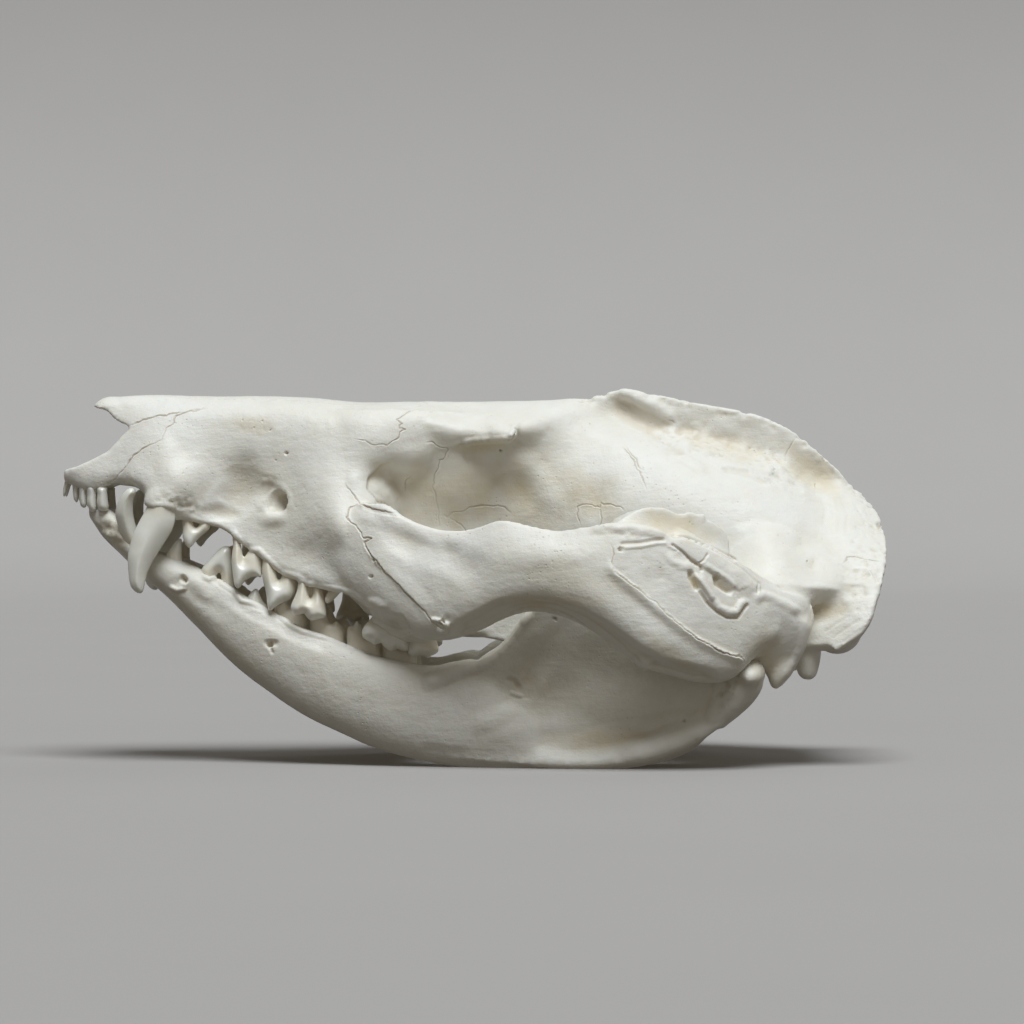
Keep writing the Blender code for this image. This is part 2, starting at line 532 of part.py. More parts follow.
def shells(obj):
    """Splits the mesh into its separate closed shells, as lists of face index sets."""
    bm = bmesh.new()
    bm.from_mesh(obj.data)
    bm.faces.ensure_lookup_table()
    seen = set()
    groups = []
    for face in bm.faces:
        if face.index in seen:
            continue
        stack, group = [face], []
        seen.add(face.index)
        while stack:
            current = stack.pop()
            group.append(current.index)
            for edge in current.edges:
                for other in edge.link_faces:
                    if other.index not in seen:
                        seen.add(other.index)
                        stack.append(other)
        groups.append(group)
    bm.free()
    return groups


def split(obj):
    """One object for each separate shell of the mesh, largest first."""
    mesh = obj.data
    co = np.array([v.co for v in mesh.vertices])
    out = []
    for group in sorted(shells(obj), key=len, reverse=True):
        polygons = [tuple(mesh.polygons[i].vertices) for i in group]
        used = sorted({v for p in polygons for v in p})
        lookup = {v: i for i, v in enumerate(used)}
        faces = [tuple(lookup[v] for v in p) for p in polygons]
        out.append(new_object("shell", co[used] / MM, faces))
    bpy.data.objects.remove(obj)
    return out


def arch_grid(table):
    """Grid of the cheek arch from its table."""
    rows = []
    for x, y, top, bottom, _, lean in table:
        tall = top - bottom
        rows.append([
            (x, y + 0.9, top),
            (x, y, top - 0.3 * tall),
            (x, y + 0.15 * lean, top - 0.68 * tall),
            (x, y + lean, bottom),
        ])
    return rows


def arch(table):
    """Cheek arch of the left side."""
    table = np.asarray(table, float)
    half = [[t * 0.75, t, t, t * 0.7] for t in table[:, 4]]
    grid = np.asarray(arch_grid(table))
    grid[:, 0, 2] -= 0.4
    grid[:, 3, 2] += 0.4
    return sheet("arch", grid, half, along=44, across=10)


def cranium_shells():
    """Overlapping bodies that make up the cranium without its teeth."""
    out = [hull("face", FACE), hull("braincase", BRAINCASE)]
    crest = np.asarray(CREST, float)
    middle = (crest[:, 1] * 2 + crest[:, 2]) / 3
    grid = [[(x, 0, root), (x, 0, mid), (x, 0, top)] for (x, top, root), mid in zip(crest, middle)]
    half = [CREST_HALF_ROOT, CREST_HALF_EDGE * 1.1, CREST_HALF_EDGE]
    out.append(sheet("crest", grid, [half] * len(grid), along=34))
    out += both_sides(sheet("wing", NUCHAL_WING, [NUCHAL_HALF] * len(NUCHAL_WING), along=20))
    out += both_sides(sheet("ear_ridge", EAR_RIDGE, 1.5))
    out += both_sides(arch(ARCH))
    # Roof of the jaw joint, the process behind it and the processes beside the condyles
    path = [(37.5, -9, 25.0), (38.5, -16, 22.6), (39.0, -23, 21.0), (38.0, -29.5, 21.5)]
    out += both_sides(rod("joint_roof", path, [(6.4, 3.4), (6.4, 3.6), (5.6, 3.4), (5.0, 4.0)], (1, 0, 0)))
    path = [(44.4, -20.5, 26.0), (44.8, -21.4, 21.0), (44.2, -22.0, 16.6), (43.3, -22.2, 12.3)]
    out += both_sides(rod("postglenoid", path, [(6.5, 3.2), (5.8, 3.0), (4.0, 2.2), (1.4, 0.9)]))
    path = [(48.0, -13.5, 25.0), (48.4, -15.0, 20.0), (48.4, -15.6, 16.0), (48.2, -15.8, 13.2)]
    out += both_sides(rod("paroccipital", path, [(2.6, 2.8), (2.2, 2.2), (1.8, 1.8), (1.1, 1.1)]))
    out += both_sides(ball("condyle", (53.4, -6.2, 20.4), (3.7, 3.3, 3.9)))
    # Root of the cheek arch over the molars and the corner behind the brow
    path = [(-17.5, -12.0, 33.5), (-15.5, -16.5, 31.0), (-10.0, -19.6, 26.6), (-7.0, -20.6, 22.6)]
    out += both_sides(rod("cheek_root", path, [(3.0, 5.0), (3.6, 5.6), (3.2, 5.6), (2.4, 3.6)]))
    path = [(2.0, -8.5, 50.2), (3.6, -11.0, 49.2), (4.8, -12.8, 48.9)]
    out += both_sides(rod("brow_corner", path, [(2.6, 1.8), (2.2, 1.3), (0.9, 0.8)], (1, 0, 0)))
    # Rear of the palate and the thin plates behind it
    path = [(-7.0, 0, 21.6), (-2.0, 0, 20.6), (2.6, 0, 20.4)]
    out.append(rod("palate_rear", path, [(13.0, 1.8), (9.0, 1.6), (6.6, 1.6)], around=20, power=3.5))
    grid = [[(x, -y, z0), (x, -y - 0.3, (z0 + z1) / 2), (x, -y - 0.6, z1)] for x, y, z0, z1 in PTERYGOID]
    out += both_sides(sheet("pterygoid", grid, 0.95))
    return out


def cranium_cutters():
    """Bodies taken away from the cranium: openings of the nose, palate, cheek and hindhead."""
    out = [prism("nose_side", NOSE_OPENING, -20, 20)]
    path = [(-62.5, 0, 45.6), (-58.0, 0, 47.4), (-53.0, 0, 48.0)]
    path += [(-46.0, 0, 48.2), (-40.0, 0, 48.0), (-37.0, 0, 48.0)]
    half = [(1.6, 2.2), (4.0, 4.4), (5.0, 4.6), (5.4, 4.4), (4.2, 3.6), (1.2, 1.2)]
    out.append(rod("nose_bore", path, half, rings=14, around=16))
    path = [(-33.0, -11.2, 38.8), (-30.2, -10.4, 39.0), (-26.0, -8.6, 39.6), (-18.0, -8.2, 41.0)]
    out += both_sides(rod("cheek_opening", path, [(1.2, 2.4), (1.5, 2.4), (1.4, 1.8), (1.4, 1.6)]))
    path = [(66.0, 0, 26.0), (58.0, 0, 25.8), (50.0, 0, 26.2), (44.0, 0, 27.5)]
    out.append(rod("foramen_magnum", path, [(5.2, 4.2), (4.9, 4.1), (4.6, 4.4), (3.0, 3.0)], around=16))
    path = [(16.0, 0, 23.6), (9.0, 0, 23.0), (2.0, 0, 23.0), (-6.0, 0, 25.0), (-12.0, 0, 28.0)]
    out.append(rod("throat", path, [(4.2, 1.5), (4.2, 2.2), (4.2, 2.2), (3.6, 1.8), (1.5, 1.0)], around=14))
    # Long slots in the palate and the pits beside them
    for front, rear, inner, wide in ((-26.0, -9.0, 2.9, 1.5), (-53.0, -48.6, 1.6, 0.9)):
        path = []
        for x in np.linspace(front, rear, 4):
            path.append((x, -inner, np.interp(x, [-55, -46, -28, -4], [42.0, 40.0, 31.0, 20.5])))
        half = [(wide * 0.5, 2.4), (wide, 2.4), (wide, 2.4), (wide * 0.5, 2.4)]
        out += both_sides(rod("palate_slot", path, half, around=10))
    # Sockets of the jaw joint
    path = [(39.2, -15.0, 14.4), (39.6, -22.0, 14.6), (39.4, -29.6, 14.6)]
    out += both_sides(rod("joint_socket", path, [(2.8, 2.5), (2.9, 2.7), (2.8, 2.5)], (1, 0, 0)))
    return out


def jaw_shells():
    """Overlapping bodies of the left half of the jaw without its teeth."""
    rings = []
    table = np.asarray(JAW_BODY, float)
    xs = np.linspace(table[0, 0], table[-1, 0], 56)
    for x, (y, top, bottom, half) in zip(xs, spline(table[:, 0], table[:, 1:], xs)):
        middle, tall = (top + bottom) / 2, (top - bottom) / 2
        turn = np.linspace(0, 2 * math.pi, 18, endpoint=False)
        cy = np.sign(np.cos(turn)) * np.abs(np.cos(turn)) ** 0.75
        cz = np.sign(np.sin(turn)) * np.abs(np.sin(turn)) ** 0.85
        rings.append(np.column_stack([np.full(18, x), y + half * cy, middle + tall * cz]))
    out = [skin("jaw_body", rings)]
    out.append(sheet("jaw_branch", JAW_BRANCH, JAW_BRANCH_HALF, along=26, across=26))
    out.append(sheet("jaw_corner", JAW_CORNER, [[1.6, 1.2, 1.0]] * len(JAW_CORNER)))
    path = [(31.5, -21.2, 15.0), (35.0, -21.6, 13.6), (38.4, -22.0, 13.6)]
    out.append(rod("neck", path, [(1.4, 3.8), (2.2, 3.6), (3.6, 2.4)]))
    path = [(38.4, -16.6, 13.8), (39.4, -20.0, 14.3), (39.8, -24.0, 14.3), (39.4, -28.2, 13.9)]
    out.append(rod("jaw_condyle", path, [(1.5, 1.4), (2.0, 2.0), (2.1, 2.2), (1.4, 1.5)], (1, 0, 0)))
    path = [(36.6, -23.0, 9.6), (38.6, -24.0, 11.2), (39.6, -25.0, 13.2)]
    out.append(rod("jaw_lump", path, [(2.4, 2.2), (2.2, 2.2), (2.0, 1.8)]))
    return out


def cone_tooth(name, spec, up, lean, rng, around=7, root=3.0):
    """Simple tooth with one cusp, sunk into the bone by its root. Goes down where up is -1."""
    _, x, y, gum, length, width, tall = spec
    tall *= 1.0 + 0.06 * (rng.random() - 0.5)
    lean += 0.12 * (rng.random() - 0.5)
    levels = [(-root, 0.62), (0.25 * tall, 1.0), (0.62 * tall, 0.62), (0.9 * tall, 0.26), (tall, 0.07)]
    rings = []
    for rise, wide in levels:
        turn = np.linspace(0, 2 * math.pi, around, endpoint=False)
        push = lean * max(rise, 0.0)
        rings.append(np.column_stack([
            x + push + np.cos(turn) * wide * length / 2,
            y + np.sin(turn) * wide * width / 2,
            np.full(around, gum + up * rise),
        ]))
    return skin(name, rings)


def molar_tooth(name, spec, up, slope, rng):
    """Broad tooth with three high cusps round a basin. Its wear surface tilts with the slope of the row."""
    _, x, y, gum, length, width, tall = spec
    turn = np.linspace(0, 2 * math.pi, 9, endpoint=False) + math.radians(10)
    profile = np.array([1.0, 0.80, 0.93, 0.72, 0.95, 0.78, 1.0, 0.84, 0.9])
    peaks = np.array([1.0, 0.55, 0.86, 0.42, 0.78, 0.48, 0.95, 0.6, 0.66]) + 0.06 * (rng.random(9) - 0.5)
    flat = np.ones(9)
    levels = [(-3.2 * flat, 0.7), (0.4 * tall * flat, 1.04), (tall * peaks, 0.78), (0.42 * tall * flat, 0.3)]
    rings = []
    for z, wide in levels:
        px = np.cos(turn) * profile * wide * length / 2
        py = np.sin(turn) * profile * wide * width / 2
        rings.append(np.column_stack([x + px, y + py, gum + up * z + slope * px]))
    return skin(name, rings)


def upper_teeth(side, rng):
    """Teeth of one upper side, as a list for the premaxilla and one for the maxilla."""
    front = [cone_tooth(t[0], t, -1, 0.12, rng, 6, 1.1) for t in UPPER_INCISORS]
    back = [rod("canine", UPPER_CANINE, UPPER_CANINE_HALF, rings=8, around=8)]
    back += [cone_tooth(t[0], t, -1, -0.05, rng) for t in UPPER_PREMOLARS]
    for t in UPPER_MOLARS:
        if side == "left" and t[0] == MISSING_TOOTH:
            continue
        back.append(molar_tooth(t[0], t, -1, -0.45, rng))
    if side == "right":
        front = [flipped(t) for t in front]
        back = [flipped(t) for t in back]
    return front, back


def lower_teeth(side, rng):
    """Teeth of one half of the jaw."""
    out = [cone_tooth(t[0], t, 1, -0.3, rng, 6) for t in LOWER_INCISORS]
    out.append(rod("canine", LOWER_CANINE, LOWER_CANINE_HALF, rings=7, around=8))
    out += [cone_tooth(t[0], t, 1, 0.0, rng) for t in LOWER_PREMOLARS]
    out += [molar_tooth(t[0], t, 1, -0.4, rng) for t in LOWER_MOLARS]
    if side == "right":
        out = [flipped(t) for t in out]
    return out


def flipped(obj):
    """The object moved to the other side."""
    twin = other_side(obj)
    bpy.data.objects.remove(obj)
    return twin


def middle_of(obj):
    """Middle of the box round the object, in millimetres."""
    co = np.array([v.co for v in obj.data.vertices]) / MM
    return (co.min(axis=0) + co.max(axis=0)) / 2


def bone_material(name, colour):
    """Pale bone."""
    material = bpy.data.materials.new(name)
    material.use_nodes = True
    shader = material.node_tree.nodes["Principled BSDF"]
    shader.inputs["Base Color"].default_value = colour
    shader.inputs["Roughness"].default_value = 0.55
    return material


def name_bones(pieces):
    """Gives each separate piece of the cut cranium its name by where it lies."""
    named = {}
    for piece in pieces:
        x, y, z = middle_of(piece)
        side = "left" if y < 0 else "right"
        if abs(y) < 2.0 and x > 0:
            key = "braincase"
        elif abs(y) > 18:
            key = "jugal_" + side
        elif z > 49 and x > -50:
            key = "nasal_" + side
        elif x < -50 and z < 50:
            key = "premaxilla_" + side
        else:
            key = "maxilla_" + side
        if key in named:
            bpy.data.objects.remove(piece)
            continue
        named[key] = piece
    return named


def midline_slit():
    """Slit between the left and right nasals, premaxillae and maxillae."""
    roof = [tuple(q) for q in smooth_line(NASAL_SUTURE)[::-1] if q[0] > -14.4]
    back = [tuple(q) for q in smooth_line(MAXILLA_SUTURE) if q[1] < 48.4]
    outline = [(-75.0, 5.0), (-75.0, 70.0), (roof[0][0], 70.0)] + roof + back + [(back[-1][0], 5.0)]
    return prism("midline", outline, -SUTURE_GAP / 2, SUTURE_GAP / 2)


def jugal_inner(x):
    """Distance from the midline to the inner face of the cheek bone, where it lies on the maxilla."""
    knots = np.asarray(JUGAL_INNER, float)
    return np.interp(x, knots[:, 0], knots[:, 1])


def maxilla_slit():
    """Slit between the maxillae and the rest of the cranium. It stops short of the cheek bones."""
    line = smooth_line(MAXILLA_SUTURE)
    reach = np.where((line[:, 1] < 39.4) & (line[:, 0] < -1.0), jugal_inner(line[:, 0]) + 0.1, 25.0)
    return ribbon("maxilla", MAXILLA_SUTURE, SUTURE_GAP, -reach, reach)


def jugal_slits():
    """Slits round the left cheek bone: towards the maxilla and towards the squamosal."""
    front = ribbon("jugal_front", JUGAL_FRONT_SUTURE, SUTURE_GAP, -45, -13)
    rear = ribbon("jugal_rear", JUGAL_REAR_SUTURE, SUTURE_GAP, -45, -17)
    grid = []
    for x, z in JUGAL_FRONT_SUTURE:
        grid.append([(q, -jugal_inner(q), z) for q in np.linspace(x - 0.1, 8.0, 8)])
    inner = sheet("jugal_inner", grid, SUTURE_GAP / 2, along=12, across=4)
    return [front, rear, inner]


def build():
    """Builds the whole skull and returns its bones by name."""
    rng = np.random.default_rng(SEED)
    cranium = fused(joined("cranium", cranium_shells()), CRANIUM_VOXEL, 3)
    cranium = thinned(cut(cranium, cranium_cutters()), CRANIUM_TRIANGLES)
    slits = [midline_slit()]
    slits.append(ribbon("nasal", NASAL_SUTURE, SUTURE_GAP, -25, 25))
    slits.append(ribbon("premaxilla", PREMAXILLA_SUTURE, SUTURE_GAP, -25, 25))
    slits.append(maxilla_slit())
    for slit in jugal_slits():
        slits += both_sides(slit)
    bones = name_bones(split(cut(cranium, slits)))
    for side in ("left", "right"):
        front, back = upper_teeth(side, rng)
        united(bones["premaxilla_" + side], front)
        united(bones["maxilla_" + side], back)
    jaw = thinned(fused(joined("mandible", jaw_shells()), MANDIBLE_VOXEL, 3), MANDIBLE_TRIANGLES)
    right_jaw = other_side(jaw)
    for side, bone in (("left", jaw), ("right", right_jaw)):
        united(bone, lower_teeth(side, rng))
        below = prism("below", [(-90, -5), (90, -5), (90, FLOOR_CUT), (-90, FLOOR_CUT)], -60, 60)
        slit = prism("between", [(-75, -5), (-30, -5), (-30, 60), (-75, 60)], -SUTURE_GAP / 2, SUTURE_GAP / 2)
        cut(bone, [below, slit])
        pieces = split(bone)
        bones["mandible_" + side] = pieces[0]
        for piece in pieces[1:]:
            bpy.data.objects.remove(piece)
    return bones


def placed(bones):
    """Moves all bones so that the whole rests at z = 0 with its box centred on the origin."""
    co = np.concatenate([np.array([v.co for v in b.data.vertices]) for b in bones.values()])
    low, high = co.min(axis=0), co.max(axis=0)
    move = -np.array([(low[0] + high[0]) / 2, (low[1] + high[1]) / 2, low[2]])
    for bone in bones.values():
        for v in bone.data.vertices:
            v.co = (v.co.x + move[0], v.co.y + move[1], v.co.z + move[2])
    return move


def finished(bones):
    """Names, materials and shading of the finished bones."""
    pale = bone_material("bone", BONE)
    jaw = bone_material("jaw_bone", BONE_DARK)
    for name, bone in bones.items():
        bone.name = name
        bone.data.name = name
        bone.data.materials.clear()
        bone.data.materials.append(jaw if name.startswith("mandible") else pale)
        tidied(bone)


def tidied(bone):
    """Merges points that nearly touch, as far as the mesh stays closed, and shades it smooth."""
    for merge in (0.004, 0.002, 0.0005, 0.0):
        for method in ("BEAUTY", "EAR_CLIP"):
            bm = bmesh.new()
            bm.from_mesh(bone.data)
            if merge:
                bmesh.ops.remove_doubles(bm, verts=bm.verts, dist=merge * MM)
                bmesh.ops.dissolve_degenerate(bm, edges=bm.edges, dist=merge * MM / 2)
            bmesh.ops.triangulate(bm, faces=bm.faces, ngon_method=method)
            for face in bm.faces:
                face.smooth = True
            closed = all(len(edge.link_faces) == 2 for edge in bm.edges)
            if closed:
                bm.to_mesh(bone.data)
            bm.free()
            if closed:
                return


BONES = build()
MOVE = placed(BONES)
finished(BONES)
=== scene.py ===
"""Opossum skull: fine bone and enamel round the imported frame, on a pale floor in soft light.

Sizes are in millimetres. The nose points along -X, the left side faces -Y, up is +Z.
"""
import math

import bmesh
import bpy
import numpy as np
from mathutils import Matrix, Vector


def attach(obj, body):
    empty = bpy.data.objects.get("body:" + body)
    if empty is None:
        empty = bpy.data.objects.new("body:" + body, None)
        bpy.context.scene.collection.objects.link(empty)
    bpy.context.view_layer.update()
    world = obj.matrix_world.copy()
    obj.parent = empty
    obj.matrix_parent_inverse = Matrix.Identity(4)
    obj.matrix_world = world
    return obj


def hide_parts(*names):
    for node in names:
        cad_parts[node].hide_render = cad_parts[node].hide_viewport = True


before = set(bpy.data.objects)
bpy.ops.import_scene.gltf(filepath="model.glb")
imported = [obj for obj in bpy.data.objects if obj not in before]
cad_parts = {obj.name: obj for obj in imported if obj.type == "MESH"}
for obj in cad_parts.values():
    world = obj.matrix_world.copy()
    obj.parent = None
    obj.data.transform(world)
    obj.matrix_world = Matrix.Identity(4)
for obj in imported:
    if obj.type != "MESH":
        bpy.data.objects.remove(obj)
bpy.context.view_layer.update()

MM = 0.001
SHIFT = (0.6136, 0.0066, -0.55)
SEED = 7

# Sizes of the working meshes
CRANIUM_VOXEL = 0.3
JAW_VOXEL = 0.3
TOOTH_VOXEL = 0.16
SUTURE_GAP = 0.3
FLOOR_CUT = 0.55

# The camera: its distance from the midline of the skull and the place that it looks at
EYE = 600.0
VIEW_X = 5.2
VIEW_Z = 37.6
LENS = 140.625
SENSOR = 36.0

# Lights: name, where they come from, spread in degrees, strength, colour; colour and strength of the sky
SUNS = [
    ("key", (0.10, -0.45, 1.0), 34, 2.95, (0.905, 0.958, 1.0)),
    ("front", (0.15, -1.0, 0.20), 60, 0.22, (1.0, 0.95, 0.87)),
    ("back", (0.50, 0.90, 0.80), 45, 0.30, (0.95, 0.97, 1.0)),
]
SKY = ((1.0, 0.93, 0.80, 1), 0.11)

# Face and rostrum. Each row is x, then (half width, height) from the top midline down to the palate
FACE = [
    [-61.7, 0, 44.6, 1.2, 44.5, 2.2, 44.3, 2.8, 44.0, 3.1, 43.7, 3.3, 43.3,
     3.3, 43.0, 3.1, 42.6, 2.6, 42.3, 1.6, 42.1, 0, 42.2],
    [-60.0, 0, 49.5, 1.4, 49.3, 2.5, 48.7, 3.3, 47.7, 4.0, 46.5, 4.5, 45.2,
     4.8, 44.1, 4.8, 42.9, 4.5, 42.0, 3.5, 41.4, 0, 42.2],
    [-57.0, 0, 54.1, 1.9, 53.9, 3.2, 53.2, 3.9, 52.0, 4.5, 50.0, 5.1, 47.5,
     5.8, 45.3, 6.3, 43.4, 6.2, 41.9, 5.2, 40.8, 0, 42.0],
    [-53.0, 0, 54.9, 2.2, 54.7, 3.8, 53.9, 4.7, 52.3, 5.6, 50.1, 6.6, 47.6,
     7.4, 45.4, 7.9, 43.6, 7.7, 42.4, 6.6, 41.9, 0, 41.6],
    [-50.0, 0, 55.1, 2.5, 54.9, 4.3, 54.0, 5.8, 52.3, 7.0, 50.2, 8.2, 47.6,
     9.3, 45.0, 10.0, 43.0, 9.8, 41.8, 7.6, 41.0, 0, 41.0],
    [-46.5, 0, 55.1, 2.8, 54.9, 5.0, 53.9, 6.8, 52.2, 8.2, 50.0, 9.7, 47.0,
     11.0, 43.6, 11.8, 40.6, 11.5, 38.4, 9.8, 37.0, 0, 39.9],
    [-42.5, 0, 55.0, 3.1, 54.8, 5.6, 53.8, 7.3, 52.2, 8.4, 50.0, 9.5, 47.0,
     10.4, 43.6, 11.0, 40.2, 10.8, 37.8, 9.6, 36.3, 0, 38.5],
    [-37.5, 0, 54.9, 3.4, 54.7, 6.2, 53.8, 8.0, 52.2, 8.9, 50.0, 9.5, 47.0,
     9.8, 43.5, 10.2, 39.5, 10.3, 36.8, 9.8, 35.0, 0, 36.3],
    [-33.0, 0, 55.0, 3.8, 54.8, 6.8, 53.8, 8.7, 52.2, 9.6, 49.8, 10.1, 46.8,
     10.2, 42.8, 10.8, 37.8, 11.2, 34.4, 10.6, 31.8, 0, 33.8],
    [-28.0, 0, 54.9, 4.3, 54.6, 7.6, 53.6, 9.5, 51.9, 10.5, 49.4, 11.2, 46.0,
     11.8, 41.5, 12.6, 36.5, 12.8, 32.0, 12.2, 28.3, 0, 31.2],
    [-23.5, 0, 54.6, 4.9, 54.3, 8.5, 53.2, 10.6, 51.4, 11.8, 48.8, 12.8, 45.5,
     14.0, 41.2, 15.4, 35.6, 15.0, 30.8, 14.3, 26.8, 0, 29.2],
    [-19.0, 0, 54.1, 5.3, 53.9, 9.3, 52.8, 11.5, 50.9, 12.7, 48.2, 13.6, 45.2,
     15.4, 40.6, 18.6, 35.2, 17.4, 29.6, 16.2, 25.0, 0, 27.0],
    [-16.0, 0, 54.0, 5.5, 53.8, 9.6, 52.8, 11.8, 51.0, 12.9, 48.3, 13.2, 45.6,
     13.8, 41.0, 16.8, 34.6, 17.8, 28.0, 17.0, 21.8, 0, 25.5],
    [-13.0, 0, 54.1, 5.5, 53.8, 9.6, 52.8, 11.6, 51.2, 12.0, 49.0, 10.4, 46.4,
     9.0, 40.5, 11.8, 30.8, 18.2, 25.6, 17.8, 19.8, 0, 24.0],
    [-9.0, 0, 54.2, 5.5, 53.8, 9.4, 52.6, 11.3, 51.0, 11.3, 48.8, 9.2, 45.8,
     7.8, 39.5, 9.5, 28.2, 18.4, 23.4, 18.0, 18.5, 0, 22.0],
    [-5.6, 0, 54.1, 5.4, 53.7, 9.2, 52.4, 11.0, 50.6, 11.0, 48.4, 9.0, 45.3,
     7.4, 39.0, 8.8, 27.0, 16.0, 21.8, 15.6, 18.6, 0, 20.8],
    [-3.5, 0, 53.6, 5.0, 53.2, 8.6, 51.9, 10.2, 50.2, 10.2, 48.2, 8.6, 45.3,
     7.0, 39.0, 7.6, 27.0, 9.6, 22.0, 9.0, 19.4, 0, 20.4],
]

# Frontal roof, wall between the orbits and braincase, in the same way
BRAINCASE = [
    [-14.0, 0, 53.5, 6.0, 53.2, 10.8, 51.3, 10.4, 47.5, 8.2, 42.0, 7.2, 36.0, 6.0, 27.0, 0, 26.0],
    [-8.0, 0, 54.1, 6.0, 53.7, 11.4, 51.0, 10.3, 47.0, 8.2, 42.0, 7.0, 36.0, 6.2, 26.0, 0, 25.0],
    [-2.0, 0, 54.1, 5.6, 53.5, 11.3, 49.9, 10.2, 46.6, 8.2, 42.0, 6.8, 35.0, 6.2, 25.0, 0, 23.5],
    [3.0, 0, 54.1, 5.2, 53.3, 12.0, 49.4, 10.0, 46.4, 7.8, 41.5, 6.7, 34.0, 6.4, 24.6, 0, 22.6],
    [7.0, 0, 54.2, 4.6, 53.2, 9.8, 50.0, 8.4, 46.4, 7.4, 41.5, 6.8, 34.0, 6.9, 24.6, 0, 22.2],
    [11.0, 0, 54.4, 3.8, 53.2, 6.6, 50.6, 7.2, 46.5, 7.9, 41.5, 8.2, 34.0, 7.9, 24.6, 0, 21.8],
    [16.0, 0, 54.6, 2.2, 53.0, 5.2, 49.6, 7.8, 45.4, 9.7, 40.5, 10.3, 33.5, 9.4, 24.4, 0, 21.4],
    [21.0, 0, 52.3, 2.6, 50.8, 6.2, 48.2, 9.3, 44.2, 11.5, 39.5, 12.2, 33.0, 11.0, 24.0, 0, 20.9],
    [27.0, 0, 50.2, 3.0, 49.2, 7.0, 46.9, 10.6, 43.0, 12.9, 38.2, 13.6, 32.0, 12.2, 23.6, 0, 20.3],
    [33.0, 0, 49.0, 3.0, 48.0, 7.3, 45.6, 11.2, 41.8, 13.7, 37.0, 14.5, 31.0, 13.0, 23.2, 0, 19.7],
    [39.0, 0, 47.6, 3.0, 46.6, 7.3, 44.3, 11.2, 40.4, 13.9, 35.8, 14.8, 30.0, 13.4, 22.6, 0, 19.0],
    [45.0, 0, 45.4, 3.0, 44.4, 7.0, 42.0, 10.8, 38.4, 13.6, 34.2, 14.7, 28.8, 13.2, 21.8, 0, 18.4],
    [50.0, 0, 42.4, 3.0, 41.4, 6.8, 39.2, 10.4, 36.0, 13.2, 32.3, 14.3, 27.4, 12.4, 20.8, 0, 18.0],
    [54.0, 0, 39.2, 3.0, 38.2, 6.4, 36.4, 9.8, 33.8, 12.4, 30.4, 13.3, 26.0, 11.2, 20.2, 0, 18.2],
    [57.2, 0, 36.0, 2.6, 35.2, 5.4, 33.8, 8.2, 31.6, 10.2, 28.8, 10.8, 25.2, 9.0, 20.9, 0, 19.6],
]

# Crest along the midline: x, top edge and root
CREST = [
    [15.5, 54.4, 50.0],
    [18.4, 55.2, 49.0],
    [22.1, 56.0, 48.0],
    [27.1, 55.2, 47.0],
    [31.9, 54.2, 46.0],
    [39.4, 52.8, 44.0],
    [43.9, 51.5, 42.5],
    [48.4, 49.0, 40.0],
    [54.2, 44.0, 36.0],
    [57.6, 40.2, 33.0],
]
CREST_HALF_EDGE = 0.85
CREST_HALF_ROOT = 2.2

# Wing of the crest at the back of the head: root, middle and rim points of the left side
NUCHAL_WING = [
    [(46, 0, 40.5), (53.0, 0, 41.0), (57.8, 0, 40.0)],
    [(46, -4.5, 38.0), (54.5, -4.8, 38.0), (59.8, -4.4, 36.8)],
    [(46, -8.5, 34.5), (54.6, -9.6, 34.0), (60.5, -10.0, 32.8)],
    [(46, -10.5, 31.5), (53.8, -13.2, 30.5), (59.8, -15.2, 29.0)],
    [(45, -11.5, 28.5), (52.8, -15.8, 27.0), (58.3, -18.8, 24.6)],
    [(44, -12.0, 25.5), (51.0, -17.2, 23.4), (56.2, -20.8, 20.4)],
    [(43, -12.0, 22.5), (48.0, -16.8, 20.4), (52.2, -20.6, 17.4)],
]

# Ridge over the ear, from the root of the arch to the wing: root, middle and rim
EAR_RIDGE = [
    [(36.5, -11.0, 30.0), (37.0, -18.5, 28.0), (37.5, -27.0, 26.6)],
    [(41.0, -11.0, 29.5), (42.0, -17.5, 27.4), (42.5, -23.0, 26.0)],
    [(46.0, -11.0, 28.5), (47.0, -16.0, 26.6), (48.0, -20.2, 25.0)],
    [(52.0, -11.0, 27.5), (53.0, -16.0, 26.0), (54.5, -19.8, 24.8)],
]

# Thin plates behind the palate: x, distance from the midline, lower and upper edge
PTERYGOID = [
    (-2.0, 6.4, 19.6, 26.0),
    (3.0, 5.8, 18.6, 26.0),
    (8.0, 5.2, 17.6, 26.0),
    (13.0, 5.0, 18.6, 25.0),
    (18.0, 5.4, 20.0, 24.0),
]

# Cheek arch: x, y of its middle, top edge, bottom edge, half thickness, inward lean of the bottom edge
ARCH = [
    [-20.5, -13.0, 37.0, 28.0, 3.0, 0.0],
    [-16.5, -17.0, 38.6, 26.0, 3.0, 0.0],
    [-12.0, -20.6, 37.9, 22.4, 2.6, 0.2],
    [-8.0, -23.2, 36.0, 19.9, 2.3, 0.6],
    [-4.0, -25.4, 34.9, 19.7, 2.1, 1.2],
    [0.0, -27.5, 35.2, 21.0, 2.0, 1.8],
    [4.0, -29.3, 36.4, 22.9, 1.9, 2.4],
    [8.0, -30.6, 35.5, 23.8, 1.8, 2.8],
    [12.0, -31.5, 34.9, 23.3, 1.8, 3.0],
    [16.0, -32.1, 35.5, 21.7, 1.8, 3.0],
    [20.0, -32.4, 36.2, 19.0, 1.8, 2.8],
    [24.0, -32.4, 35.9, 16.0, 1.8, 2.4],
    [28.0, -32.0, 34.2, 14.7, 1.8, 2.0],
    [32.0, -31.0, 33.0, 13.7, 1.8, 1.6],
    [36.0, -29.2, 31.2, 14.0, 2.0, 1.2],
    [39.0, -27.2, 29.0, 16.8, 2.4, 0.8],
    [42.0, -24.6, 26.8, 18.6, 2.8, 0.4],
]

